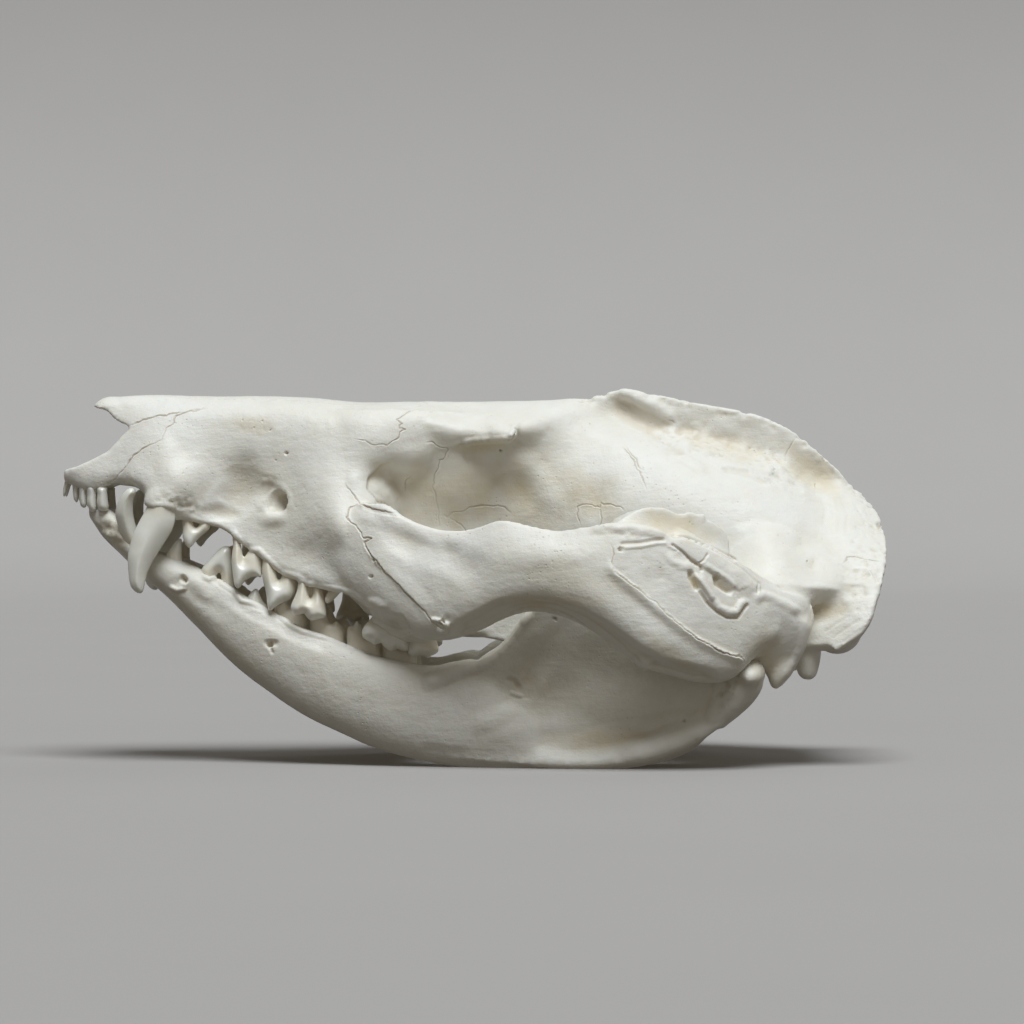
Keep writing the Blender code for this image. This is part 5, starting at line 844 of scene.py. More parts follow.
def other_side(obj):
    """Copy of the object on the other side of the midline."""
    twin = obj.copy()
    twin.data = obj.data.copy()
    twin.name = obj.name + "_other"
    bpy.context.scene.collection.objects.link(twin)
    bm = bmesh.new()
    bm.from_mesh(twin.data)
    for v in bm.verts:
        v.co.y = -v.co.y
    bmesh.ops.reverse_faces(bm, faces=bm.faces)
    bm.to_mesh(twin.data)
    bm.free()
    return twin


def both_sides(obj):
    """The object and its copy on the other side."""
    return [obj, other_side(obj)]


def apply_modifiers(obj):
    """Replaces the mesh of the object by what its modifiers make of it."""
    graph = bpy.context.evaluated_depsgraph_get()
    mesh = bpy.data.meshes.new_from_object(obj.evaluated_get(graph))
    obj.modifiers.clear()
    old_mesh = obj.data
    obj.data = mesh
    bpy.data.meshes.remove(old_mesh)
    return obj


def joined(name, objects):
    """One object that holds the shells of all of them."""
    bm = bmesh.new()
    for obj in objects:
        bm.from_mesh(obj.data)
    mesh = bpy.data.meshes.new(name)
    bm.to_mesh(mesh)
    bm.free()
    for obj in objects:
        bpy.data.objects.remove(obj)
    obj = bpy.data.objects.new(name, mesh)
    bpy.context.scene.collection.objects.link(obj)
    return obj


def fused(obj, voxel):
    """Fuses overlapping shells into one skin."""
    fuse = obj.modifiers.new("fuse", "REMESH")
    fuse.mode = "VOXEL"
    fuse.voxel_size = voxel
    return apply_modifiers(obj)


def cut(obj, cutters):
    """Takes the cutters away from the object, one after the other."""
    for cutter in cutters:
        take = obj.modifiers.new("cut", "BOOLEAN")
        take.operation = "DIFFERENCE"
        take.solver = "EXACT"
        take.object = cutter
        apply_modifiers(obj)
        bpy.data.objects.remove(cutter)
    return obj


def grab(items, what, width, kind=float):
    """Values of a mesh collection as an array."""
    raw = np.empty(len(items) * width, np.int32 if kind is int else np.float32)
    items.foreach_get(what, raw)
    return raw.astype(kind).reshape(-1, width)


def bell(distance, reach):
    """Smooth hump: 1 at distance 0 and 0 from the reach on."""
    return (1 - np.minimum(np.abs(distance) / reach, 1.0) ** 2) ** 2


def ramp(values, low, high):
    """Smooth step from 0 at low to 1 at high."""
    t = np.clip((values - low) / (high - low), 0, 1)
    return t * t * (3 - 2 * t)


def noise3(p, size, seed):
    """Smooth random values between -1 and 1, with features of the given size."""
    q = p / size + seed * 3.7
    cell = np.floor(q).astype(np.int64)
    t = q - cell
    t = t * t * (3 - 2 * t)
    out = np.zeros(len(p))
    for corner in range(8):
        step = np.array([corner & 1, corner >> 1 & 1, corner >> 2 & 1])
        k = cell + step
        h = k[:, 0] * 73856093 ^ k[:, 1] * 19349663 ^ k[:, 2] * 83492791 ^ seed * 2654435761
        h = (h ^ (h >> 13)) * 1274126177 & 0x7FFFFFFF
        h = (h ^ (h >> 16)) & 0xFFFF
        out += (h / 32767.5 - 1) * np.prod(np.where(step == 1, t, 1 - t), axis=1)
    return out


def fractal(p, size, seed, octaves=3):
    """Sum of ever finer noise."""
    return sum(noise3(p, size / 2**k, seed + k) / 2**k for k in range(octaves))


def line_distance(q, line, reach):
    """Distance of the points from a line in the plane, on which side they lie, and how far from its ends."""
    line = np.asarray(line, float)
    best = np.full(len(q), float(reach))
    run = np.zeros(len(q))
    side = np.ones(len(q))
    near = np.flatnonzero(((q > line.min(axis=0) - reach) & (q < line.max(axis=0) + reach)).all(axis=1))
    done = 0.0
    for a, b in zip(line, line[1:]):
        d = b - a
        length = math.hypot(*d)
        t = np.clip(((q[near] - a) @ d) / length**2, 0, 1)
        gap = np.linalg.norm(q[near] - a - t[:, None] * d, axis=1)
        closer = gap < best[near]
        best[near[closer]] = gap[closer]
        run[near[closer]] = done + t[closer] * length
        out = q[near] - a
        turn = np.sign(d[0] * out[:, 1] - d[1] * out[:, 0])
        side[near[closer]] = turn[closer]
        done += length
    return best, side, np.minimum(run, done - run)


class Clay:
    """Points of a mesh in millimetres with their neighbours and outward directions."""

    def __init__(self, obj):
        self.obj = obj
        self.reload()

    def reload(self):
        mesh = self.obj.data
        self.p = grab(mesh.vertices, "co", 3)
        self.ends = grab(mesh.edges, "vertices", 2, int)
        self.count = np.maximum(np.bincount(self.ends.ravel(), minlength=len(self.p)), 1)
        self.turn()

    def turn(self):
        """Writes the points back and reads the outward directions anew."""
        self.obj.data.vertices.foreach_set("co", self.p.astype(np.float32).ravel())
        self.obj.data.update()
        self.n = grab(self.obj.data.vertex_normals, "vector", 3)

    def mean(self, values):
        """Mean of the neighbours' values."""
        a, b = self.ends.T
        size = len(self.p)
        if values.ndim > 1:
            return np.column_stack([self.mean(column) for column in values.T])
        return (np.bincount(a, values[b], size) + np.bincount(b, values[a], size)) / self.count

    def relax(self, rounds, weight=0.5):
        """Smooths the surface."""
        weight = np.broadcast_to(weight, len(self.p))[:, None]
        for _ in range(rounds):
            self.p += (self.mean(self.p) - self.p) * weight
        self.turn()

    def fill_creases(self, rounds, limit, where=1.0):
        """Rounds off the sharp inner corners and leaves the edges that stand out."""
        for k in range(rounds):
            pull = self.mean(self.p) - self.p
            hollow = (pull * self.n).sum(axis=1)
            self.p += pull * (np.clip(hollow / limit, 0, 1) * 0.9 * where)[:, None]
            if k % 4 == 3:
                self.turn()
        self.turn()

    def push(self, amount):
        """Moves the surface outwards by the amount."""
        self.p += self.n * amount[:, None]

    def seen(self, view):
        """Places in a view, with points of the right side mirrored to the left, and how far they face it."""
        x, y, z = self.p.T
        side = np.where(y < 0, -1.0, 1.0)
        if view == "side":
            near = EYE / (EYE - np.abs(y))
            q = np.column_stack([VIEW_X + (x - VIEW_X) * near, VIEW_Z + (z - VIEW_Z) * near])
            return q, self.n[:, 1] * side
        if view == "through":
            return np.column_stack([x, z]), np.ones(len(x))
        if view == "inner":
            return np.column_stack([x, z]), -self.n[:, 1] * side
        if view == "top":
            return np.column_stack([x, -np.abs(y)]), self.n[:, 2]
        if view == "under":
            return np.column_stack([x, -np.abs(y)]), -self.n[:, 2]
        return np.column_stack([-np.abs(y), z]), self.n[:, 0]

    def zone(self, view, lo, hi, only=None, least=0.05):
        """Share of each point that belongs to a zone: it faces the view, between two distances."""
        q, facing = self.seen(view)
        depth = np.abs(self.p[:, 1]) if view in ("side", "inner", "through") else self.p[:, 2]
        depth = self.p[:, 0] if view == "rear" else depth
        share = ramp(facing, least, least + 0.25) * (depth > lo) * (depth < hi)
        if only == "left":
            share = share * (self.p[:, 1] < 0)
        return q, share


def arch():
    """Cheek arch of the left side."""
    table = np.asarray(ARCH, float)
    rows = []
    for x, y, top, bottom, _, lean in table:
        tall = top - bottom
        rows.append([
            (x, y + 2.3, top - 0.4), (x, y + 1.0, top - 0.28 * tall),
            (x, y + 0.1 + 0.1 * lean, top - 0.55 * tall), (x, y + 0.2 + 0.35 * lean, bottom + 2.3),
            (x, y + lean + 2.2, bottom + 0.4),
        ])
    half = [[t * 0.75, t, t, t * 0.95, t * 0.6] for t in table[:, 4]]
    return sheet("arch", rows, half, along=170, across=36)


def from_photo(u, v, y):
    """Place at the depth y that the camera sees at (u, v) of the side view."""
    near = (EYE - abs(y)) / EYE
    return VIEW_X + (u - VIEW_X) * near, y, VIEW_Z + (v - VIEW_Z) * near


def lobe():
    """Thin shell with a ragged rim that rises behind the top of the cheek arch."""
    grid = []
    for share, (u, v) in zip(np.linspace(0, 1, len(LOBE_RIM)), LOBE_RIM):
        rim = np.array(from_photo(u, v, np.interp(u, [20, 38], [-29.2, -20.8])))
        x = 20.6 + 16.8 * share
        height = np.interp(x, [20.6, 28, 37.4], [34.0, 32.6, 28.6])
        foot = np.array([x, np.interp(x, [20.6, 37.4], [-31.0, -23.8]), height])
        grid.append([foot, (foot + rim) / 2 + (0, 0.9, 0), rim])
    return sheet("lobe", grid, [LOBE_HALF] * len(grid), along=110, across=26)


def cranium_shells():
    """Overlapping bodies that make up the cranium without its teeth."""
    face = cut(hull("face", FACE), face_cutters())
    case = cut(hull("braincase", BRAINCASE), case_cutters())
    out = [face, case]
    crest = np.asarray(CREST, float)
    middle = (crest[:, 1] * 2 + crest[:, 2]) / 3
    grid = [[(x, 0, root), (x, 0, mid), (x, 0, top)] for (x, top, root), mid in zip(crest, middle)]
    half = [CREST_HALF_ROOT, CREST_HALF_EDGE * 1.1, CREST_HALF_EDGE]
    out.append(sheet("crest", grid, [half] * len(grid), along=90, across=30))
    half = [(2.2, 1.3, 0.6)] * 5 + [(1.8, 1.0, 0.5), (0.9, 0.6, 0.35)]
    out += both_sides(sheet("wing", NUCHAL_WING, half, along=60))
    ledge = EAR_RIDGE[:3] + [[(52.0, -11.0, 27.5), (53.0, -14.0, 26.2), (54.0, -16.6, 25.2)]]
    out += both_sides(sheet("ear_ridge", ledge, [(1.5, 1.5, 1.5)] * 3 + [(1.5, 1.3, 0.7)]))
    out += both_sides(arch())
    out += both_sides(lobe())
    # Roof of the jaw joint, the process behind it and the processes beside the condyles
    path = [(37.5, -9, 25.0), (38.5, -16, 22.6), (38.6, -22, 21.0), (38.0, -26.4, 21.5), (37.8, -28.0, 21.8)]
    half = [(6.4, 3.4), (6.2, 3.6), (5.0, 3.4), (3.6, 3.4), (1.6, 1.6)]
    out += both_sides(rod("joint_roof", path, half, (1, 0, 0)))
    path = [(44.0, -18.6, 25.0), (44.4, -19.8, 20.8), (44.1, -21.2, 16.6), (43.4, -22.0, 13.4),
            (43.2, -22.2, 12.0)]
    out += both_sides(rod("postglenoid", path, [(4.2, 3.2), (3.8, 3.0), (2.6, 2.2), (1.7, 1.3), (0.6, 0.5)]))
    out += both_sides(sheet("temple", TEMPLE, TEMPLE_HALF))
    half = [(1.6, 1.6, 1.2), (1.6, 1.4, 0.9), (1.2, 0.9, 0.6), (0.5, 0.4, 0.4)]
    out += both_sides(sheet("mastoid", MASTOID, half))
    path = [(48.0, -13.5, 25.0), (48.4, -15.0, 20.0), (48.4, -15.6, 16.4), (48.3, -15.8, 13.9),
            (48.2, -15.8, 13.1)]
    out += both_sides(rod("paroccipital", path, [(2.6, 2.8), (2.2, 2.2), (1.9, 1.9), (1.4, 1.4), (0.5, 0.5)]))
    out += both_sides(ball("condyle", (53.4, -6.2, 20.4), (3.7, 3.3, 3.9)))
    # Walls that slope out to the brow and to the ridge over the ear
    grid = [[(x, y, z) for y, z in row] for x, row in BROW_WALL]
    out += both_sides(sheet("brow_wall", grid, [(1.0, 1.2, 1.2, 1.2, 1.0, 0.6)] * len(grid)))
    out += both_sides(sheet("ear_slope", EAR_SLOPE, [(1.2, 1.6, 1.2, 0.45)] * len(EAR_SLOPE)))
    # Bone round the root of the canine
    path = [(-45.0, -8.2, 43.8), (-45.9, -9.6, 41.0), (-46.4, -10.7, 38.7), (-46.5, -10.8, 38.1)]
    out += both_sides(rod("canine_socket", path, [(1.8, 2.6), (2.1, 2.7), (2.0, 2.7), (1.5, 2.3)]))
    # Root of the cheek arch over the molars and the corner behind the brow
    path = [(-17.5, -12.0, 33.5), (-15.5, -16.5, 31.0), (-10.0, -19.6, 26.6), (-7.0, -20.6, 22.6)]
    out += both_sides(rod("cheek_root", path, [(3.0, 5.0), (3.6, 5.6), (3.2, 5.6), (2.4, 3.6)]))
    path = [(2.0, -8.5, 50.0), (3.6, -10.8, 49.3), (4.9, -12.6, 48.9), (5.3, -13.4, 48.7)]
    out += both_sides(rod("brow_corner", path, [(2.8, 1.8), (2.4, 1.4), (1.3, 0.9), (0.4, 0.4)], (1, 0, 0)))
    # Thin wall and scrolls inside the nose, and the capsules of the ears
    grid = [[(x, 0, 43.0), (x, 0, 47.6), (x, 0, 52.0)] for x in (-50.6, -44.0, -37.0)]
    out.append(sheet("nose_wall", grid, 0.35))
    path = [(-50.4, -2.5, 46.8), (-45.0, -2.6, 47.2), (-38.0, -2.4, 47.6)]
    out += both_sides(rod("nose_scroll", path, [(0.7, 1.6), (0.8, 2.1), (0.7, 1.6)]))
    out += both_sides(ball("ear_capsule", (41.0, -11.0, 21.0), (3.4, 2.6, 3.2)))
    # Rear of the palate and the thin plates behind it
    path = [(-7.0, 0, 21.6), (-2.0, 0, 20.6), (2.6, 0, 20.4)]
    out.append(rod("palate_rear", path, [(13.0, 1.8), (9.0, 1.6), (6.6, 1.6)], around=40, power=3.5))
    grid = [[(x, -y, z0), (x, -y - 0.3, (z0 + z1) / 2), (x, -y - 0.6, z1)] for x, y, z0, z1 in PTERYGOID]
    out += both_sides(sheet("pterygoid", grid, 0.75))
    return out


def face_cutters():
    """Openings of the nose, the cheek and the palate."""
    out = [prism("nose_side", NOSE_OPENING, -20, 20)]
    path = [(-62.5, 0, 45.6), (-58.0, 0, 47.4), (-53.0, 0, 48.0)]
    path += [(-46.0, 0, 48.2), (-40.0, 0, 48.0), (-37.0, 0, 48.0)]
    half = [(1.6, 2.2), (4.0, 4.4), (5.0, 4.6), (5.4, 4.4), (4.2, 3.6), (1.2, 1.2)]
    out.append(rod("nose_bore", path, half, rings=30, around=30))
    path = [(-34.0, -13.0, 39.7), (-31.4, -12.4, 39.3), (-29.4, -11.4, 39.0), (-26.0, -9.9, 39.3),
            (-18.0, -8.4, 40.8)]
    half = [(0.5, 0.7), (1.0, 1.3), (1.3, 1.7), (1.3, 1.7), (1.2, 1.4)]
    out += both_sides(rod("cheek_opening", path, half))
    for front, rear, inner, wide in ((-26.0, -9.0, 2.9, 1.5), (-53.0, -48.6, 1.6, 0.9)):
        path = []
        for x in np.linspace(front, rear, 4):
            path.append((x, -inner, np.interp(x, [-55, -46, -28, -4], [42.0, 40.0, 31.0, 20.5])))
        half = [(wide * 0.5, 2.4), (wide, 2.4), (wide, 2.4), (wide * 0.5, 2.4)]
        out += both_sides(rod("palate_slot", path, half, around=20))
    return out + throat() + empty_socket()


def empty_socket():
    """What the bone has lost round the missing molar of the left side."""
    line = [(-20.0, 26.0), (-18.6, 25.7), (-17.4, 25.1), (-16.0, 23.9), (-15.0, 22.2), (-16.9, 19.6),
            (-20.0, 22.6)]
    return [prism("empty_socket", closed_curve(line, 4), -23, -12.4)]


def throat():
    """Air way above the palate."""
    path = [(16.0, 0, 23.6), (9.0, 0, 23.0), (2.0, 0, 23.0), (-6.0, 0, 25.0), (-12.0, 0, 28.0)]
    return [rod("throat", path, [(4.2, 1.5), (4.2, 2.2), (4.2, 2.2), (3.6, 1.8), (1.5, 1.0)], around=28)]


def case_cutters():
    """Great opening of the hindhead, and the air way."""
    path = [(66.0, 0, 26.0), (58.0, 0, 25.8), (50.0, 0, 26.2), (44.0, 0, 27.5)]
    half = [(5.2, 4.2), (4.9, 4.1), (4.6, 4.4), (3.0, 3.0)]
    return [rod("foramen_magnum", path, half, around=32)] + throat()


def jaw_shells():
    """Overlapping bodies of the left half of the jaw without its teeth."""
    rings = []
    table = np.asarray(JAW_BODY, float)
    xs = np.linspace(table[0, 0], table[-1, 0], 120)
    around = 36
    for x, (y, top, bottom, half) in zip(xs, spline(table[:, 0], table[:, 1:], xs)):
        # Shoulder in front of the upright branch, and the rim round the roots of the front teeth
        top += 1.5 * bell(x + 0.5, 6.0) + 1.1 * bell(x + 53.6, 3.4)
        middle, tall = (top + bottom) / 2, (top - bottom) / 2
        turn = np.linspace(0, 2 * math.pi, around, endpoint=False)
        cy = np.sign(np.cos(turn)) * np.abs(np.cos(turn)) ** np.where(turn > math.pi, 1.05, 0.75)
        cz = np.sign(np.sin(turn)) * np.abs(np.sin(turn)) ** 0.85
        rings.append(np.column_stack([np.full(around, x), y + half * cy, middle + tall * cz]))
    out = [skin("jaw_body", rings)]
    # The front edge of the upright branch is hollow where it meets the body
    branch = [list(row) for row in JAW_BRANCH]
    branch[3][:2] = [(3.0, -19.8, 17.2), (6.8, -20.1, 18.2)]
    out.append(sheet("jaw_branch", branch, JAW_BRANCH_HALF, along=80, across=80))
    corner = []
    for row in JAW_CORNER:
        corner.append([(x - 0.35 * max(x - 30, 0), y, z + 0.12 * max(x - 28, 0)) for x, y, z in row])
    out.append(sheet("jaw_corner", corner, [[1.6, 1.2, 0.8]] * len(JAW_CORNER)))
    path = [(31.5, -21.2, 15.0), (35.0, -21.6, 13.6), (38.4, -22.0, 13.6)]
    out.append(rod("neck", path, [(1.4, 3.8), (2.2, 3.6), (3.6, 2.4)]))
    path = [(38.0, -16.0, 13.7), (38.6, -17.6, 13.9), (39.4, -20.6, 14.3), (39.7, -24.0, 14.4),
            (39.3, -27.2, 14.0), (38.9, -28.6, 13.7)]
    half = [(0.6, 0.5), (1.5, 1.4), (1.9, 1.9), (2.0, 2.1), (1.5, 1.5), (0.5, 0.5)]
    out.append(rod("jaw_condyle", path, half, (1, 0, 0)))
    path = [(34.4, -22.6, 7.6), (36.4, -23.6, 9.6), (38.4, -24.6, 11.8), (39.6, -25.4, 13.8),
            (40.0, -25.8, 15.2)]
    out.append(rod("jaw_lump", path, [(1.6, 1.8), (2.0, 2.1), (2.1, 2.2), (1.8, 1.9), (0.7, 0.8)]))
    return out


def shaped(clay, reliefs):
    """Presses the broad hollows into the surface and raises the swellings."""
    for view, lo, hi, only, centre, half, tilt, depth in reliefs:
        q, share = clay.zone(view, lo, hi, only)
        amount = -depth * bell(blot(q, centre, half, tilt), 1.0) * share
        if view == "through":
            # Thin plates bend as a whole, towards the middle
            clay.p[:, 1] += amount * np.sign(clay.p[:, 1])
        else:
            clay.push(amount)
        clay.turn()


def stroked(clay, strokes):
    """Raises and sinks the surface along the lines. A step is raised on the left of its line only."""
    for view, lo, hi, only, kind, half, height, line in strokes:
        q, share = clay.zone(view, lo, hi, only)
        gap, side, end = line_distance(q, line, half)
        if kind == "round":
            form = np.sqrt(1 - np.minimum(gap / half, 1) ** 2)
        else:
            form = bell(gap, half)
        if kind == "step":
            form = form * ramp(gap * side, -0.3, 0.3)
        clay.push(height * form * share * ramp(end, -0.1 * half, 1.3 * half))
        if half > 0.8:
            clay.turn()
    clay.turn()


def roughened(clay, places):
    """Rough, pitted patches of bone."""
    for view, lo, hi, only, centre, half, tilt, size, height in places:
        q, share = clay.zone(view, lo, hi, only)
        share = share * bell(blot(q, centre, half, tilt), 1.0)
        clay.push(height * fractal(clay.p, size, 40, 3) * share)
    clay.turn()


def blot(q, centre, half, tilt):
    """Distance from the centre of a tilted ellipse, 1 at its edge."""
    a = math.radians(tilt)
    d = q - np.asarray(centre)
    along = (d[:, 0] * math.cos(a) + d[:, 1] * math.sin(a)) / half[0]
    across = (d[:, 1] * math.cos(a) - d[:, 0] * math.sin(a)) / half[1]
    return np.hypot(along, across)


def fine_places(clay, seams, pits, reach):
    """Points that lie near a seam or a pit."""
    near = np.zeros(len(clay.p), bool)
    for view, lo, hi, only, half, _, line in seams:
        q, share = clay.zone(view, lo, hi, only)
        gap = line_distance(q, line, reach + half)[0]
        near |= (gap < reach + half) & (share > 0.02)
    for view, lo, hi, only, radius, _, places in pits:
        q, share = clay.zone(view, lo, hi, only)
        for place in places:
            near |= (np.linalg.norm(q - place, axis=1) < radius + reach) & (share > 0.02)
    return near


def refine(clay, chosen):
    """Splits the edges between chosen points, to make room for fine detail."""
    bm = bmesh.new()
    bm.from_mesh(clay.obj.data)
    edges = [e for e in bm.edges if chosen[e.verts[0].index] and chosen[e.verts[1].index]]
    bmesh.ops.subdivide_edges(bm, edges=edges, cuts=1, use_grid_fill=True)
    bm.to_mesh(clay.obj.data)
    bm.free()
    clay.reload()


def engraved(clay, seams, pits):
    """Cuts the seams and the small openings, and returns how dark each point is: dark seams, and painted
    shade in the small openings.
    """
    dark = np.zeros(len(clay.p))
    wobble = np.column_stack([noise3(clay.p, 1.1, 31), noise3(clay.p, 1.1, 57)]) * 0.20
    wobble += np.column_stack([noise3(clay.p, 0.45, 33), noise3(clay.p, 0.45, 59)]) * 0.10
    strength = np.clip(0.75 + 0.5 * noise3(clay.p, 3.0, 71), 0.2, 1.0)
    for view, lo, hi, only, half, depth, line in seams:
        q, share = clay.zone(view, lo, hi, only)
        gap, _, end = line_distance(q + wobble, line, 4 * half)
        share = share * strength * ramp(end, -0.2, 1.5)
        lips = bell(gap - 2.6 * half, 2.0 * half) * (gap < 4 * half)
        clay.push((0.18 * lips - bell(gap, 1.8 * half)) * depth * share)
        dark = np.maximum(dark, bell(gap, 1.7 * half) * share)
    for view, lo, hi, only, radius, depth, places in pits:
        q, share = clay.zone(view, lo, hi, only)
        for place in places:
            gap = np.linalg.norm(q + wobble - place, axis=1)
            clay.push(-depth * bell(gap, 1.4 * radius) * share)
            # Painted shade: the small openings are darkened towards their middle
            dark = np.maximum(dark, 0.5 * bell(gap, 1.2 * radius) * share)
    clay.turn()
    return dark


def hollowness(clay):
    """How far each point lies below its surroundings, at a fine and a broad scale."""
    out = []
    smooth = clay.p.copy()
    for rounds in (4, 40):
        for _ in range(rounds):
            smooth += (clay.mean(smooth) - smooth) * 0.8
        out.append(((smooth - clay.p) * clay.n).sum(axis=1))
    return out


def stained_and_shaded(clay, stains_and_shade):
    """How strongly each point is stained or given painted shade."""
    out = np.zeros(len(clay.p))
    for view, lo, hi, only, centre, half, tilt, strength in stains_and_shade:
        q, share = clay.zone(view, lo, hi, only)
        patch = bell(blot(q, centre, half, tilt) + 0.25 * fractal(clay.p, 3.0, 90), 1.0)
        out = np.maximum(out, strength * patch * share)
    return out


def keep(obj, name, values):
    """Stores one value for each point, for the material."""
    layer = obj.data.attributes.new(name, "FLOAT", "POINT")
    layer.data.foreach_set("value", np.clip(values, 0, 1).astype(np.float32))


def crest_edge(clay):
    """Ragged edge of the crest and of the wings at the back of the head."""
    x, y, z = clay.p.T
    rim = np.asarray([(c[0], c[1]) for c in CREST] + [(59.8, 36.8), (61.0, 32.0)], float)
    gap = line_distance(np.column_stack([x, z]), rim, 2.0)[0]
    near = bell(gap, 1.7) * (np.abs(y) < 4.0)
    back = ramp(x + 0.35 * np.abs(y), 57.5, 61.0) * ramp(z, 21, 25)
    share = np.clip(near + 0.5 * back, 0, 1)
    side = clay.seen("side")[0]
    for notch in NOTCHES:
        share += 2.2 * bell(np.linalg.norm(side - notch, axis=1), 1.0)
    clay.p -= clay.n * (share * (0.12 + 0.36 * np.maximum(fractal(clay.p, 1.1, 11, 2), -0.2)))[:, None]
    clay.turn()


def body(name, shells, voxel, fill):
    """Shells fused into one skin, with rounded inner corners."""
    clay = Clay(fused(joined(name, shells), voxel))
    clay.relax(3)
    clay.fill_creases(fill, 0.012)
    clay.relax(2)
    return clay


def cranium():
    """The whole cranium without its teeth."""
    clay = body("cranium", cranium_shells(), CRANIUM_VOXEL, 44)
    shaped(clay, RELIEF)
    stroked(clay, [s for s in STROKES if s[5] > 0.8])
    roughened(clay, ROUGH)
    rough = fractal(clay.p, 9.0, 5, 3) * 0.10 + fractal(clay.p, 2.2, 15, 2) * 0.025
    clay.push(rough)
    clay.turn()
    crest_edge(clay)
    fine = [s for s in STROKES if s[5] <= 0.8]
    lines = SEAMS + [s[:4] + (s[5], s[6], s[7]) for s in fine]
    for reach, where in (((0.5, lines), (0.25, SEAMS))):
        refine(clay, fine_places(clay, where, PITS, reach))
    stroked(clay, fine)
    dark = engraved(clay, SEAMS, PITS)
    return finish_bone(clay, dark, STAINS_AND_SHADE, BONE)


def finish_bone(clay, dark, stains_and_shade, material):
    """Painted shade, painted highlight and stain values, material and smooth faces of a bone, and its place
    in the frame.
    """
    fine, broad = hollowness(clay)
    # Dark seams, and painted shade in the small openings
    keep(clay.obj, "seam_and_pit_shade", dark)
    # Painted shade: hollows and creases are made darker and warmer, at a fine and a broad scale
    keep(clay.obj, "hollow", np.clip(fine / 0.06, 0, 1) * 0.5 + np.clip(broad / 0.5, 0, 1) * 0.6)
    # Painted highlight: raised edges and ridges are made lighter
    keep(clay.obj, "edge_highlight", np.clip(-broad / 0.6, 0, 1))
    # Stains, and painted shade where the bone lies in shade
    keep(clay.obj, "stain_and_shade", stained_and_shaded(clay, stains_and_shade))
    return settled(clay.obj, material)


def settled(obj, material):
    """Puts a finished mesh into the frame, in metres, with smooth faces and its material."""
    co = grab(obj.data.vertices, "co", 3)
    co = (co + np.asarray(SHIFT)) * MM
    obj.data.vertices.foreach_set("co", co.astype(np.float32).ravel())
    obj.data.polygons.foreach_set("use_smooth", np.ones(len(obj.data.polygons), bool))
    obj.data.materials.clear()
    obj.data.materials.append(material)
    obj.data.update()
    return obj


def jaw():
    """Left half of the jaw without its teeth."""
    shells = jaw_shells()
    clay = body("mandible_left_bone", shells, JAW_VOXEL, 44)
    shaped(clay, JAW_RELIEF)
    stroked(clay, [s for s in JAW_STROKES if s[5] > 0.8])
    roughened(clay, JAW_ROUGH)
    clay.push(fractal(clay.p, 8.0, 6, 3) * 0.09 + fractal(clay.p, 2.0, 16, 2) * 0.02)
    # Lowest strip of the border is flat where the jaw rests
    clay.p[:, 2] = np.maximum(clay.p[:, 2], FLOOR_CUT)
    clay.p[:, 1] = np.where(clay.p[:, 0] < -30, np.minimum(clay.p[:, 1], -SUTURE_GAP / 2), clay.p[:, 1])
    clay.turn()
    fine = [s for s in JAW_STROKES if s[5] <= 0.8]
    for reach in ((0.5,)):
        refine(clay, fine_places(clay, [s[:4] + (s[5], s[6], s[7]) for s in fine], JAW_PITS, reach))
    stroked(clay, fine)
    dark = engraved(clay, [], JAW_PITS)
    return finish_bone(clay, dark, STAINS_AND_SHADE, JAW_BONE_SHADED)


def mirrored(obj, name):
    """Copy of a finished piece on the other side of the skull."""
    twin = obj.copy()
    twin.data = obj.data.copy()
    twin.name = name
    bpy.context.scene.collection.objects.link(twin)
    co = grab(twin.data.vertices, "co", 3)
    co[:, 1] = 2 * SHIFT[1] * MM - co[:, 1]
    twin.data.vertices.foreach_set("co", co.astype(np.float32).ravel())
    twin.data.flip_normals()
    twin.data.update()
    return twin


# Parts of teeth: along the row, outwards, height, half length, half width, in shares of the tooth's size
INNER_MOLAR = [
    [(0.0, 0.0, 0.08, 0.36, 0.34), (0.0, 0.0, 0.30, 0.42, 0.42), (0.0, 0.0, 0.55, 0.43, 0.43),
     (0.0, 0.0, 0.72, 0.36, 0.36),
     (0.0, 0.0, 0.78, 0.20, 0.20)],
    [(-0.02, -0.32, 0.30, 0.22, 0.16), (-0.02, -0.35, 0.66, 0.16, 0.12), (-0.02, -0.35, 0.88, 0.08, 0.06)],
    [(-0.20, 0.04, 0.6, 0.14, 0.12), (-0.20, 0.04, 0.92, 0.08, 0.07), (-0.20, 0.04, 1.0, 0.03, 0.03)],
    [(0.20, 0.04, 0.6, 0.14, 0.12), (0.20, 0.04, 0.96, 0.08, 0.07), (0.20, 0.04, 1.0, 0.03, 0.03)],
    [(0.0, -0.30, -0.5, 0.10, 0.10), (0.0, -0.30, -0.1, 0.16, 0.14), (0.0, -0.24, 0.3, 0.20, 0.16)],
]
PEG = [
    [(0.04, 0, -0.35, 0.34, 0.36), (0.0, 0, 0.05, 0.44, 0.46), (-0.02, 0, 0.45, 0.50, 0.46),
     (-0.05, 0, 0.78, 0.47, 0.34),
     (-0.06, 0, 0.95, 0.32, 0.18), (-0.06, 0, 1.0, 0.14, 0.06)],
]
NECKS = {"M1": 0.5, "M2": 0.45, "M3": 0.2, "M4": 0.1}
NO_NECK = 99.0
# Side outline of a lower molar, in shares of its length and height, for its outer and its inner cusps
LOWER_MOLAR = [
    (-0.44, -0.5), (-0.49, 0.0), (-0.50, 0.36), (-0.46, 0.60), (-0.40, 0.68), (-0.34, 0.66),
    (-0.27, 0.84), (-0.20, 1.0),
    (-0.13, 0.90), (-0.04, 0.62), (0.06, 0.50), (0.17, 0.56), (0.26, 0.70), (0.33, 0.66), (0.42, 0.54),
    (0.49, 0.40),
    (0.50, 0.10), (0.45, -0.5),
]


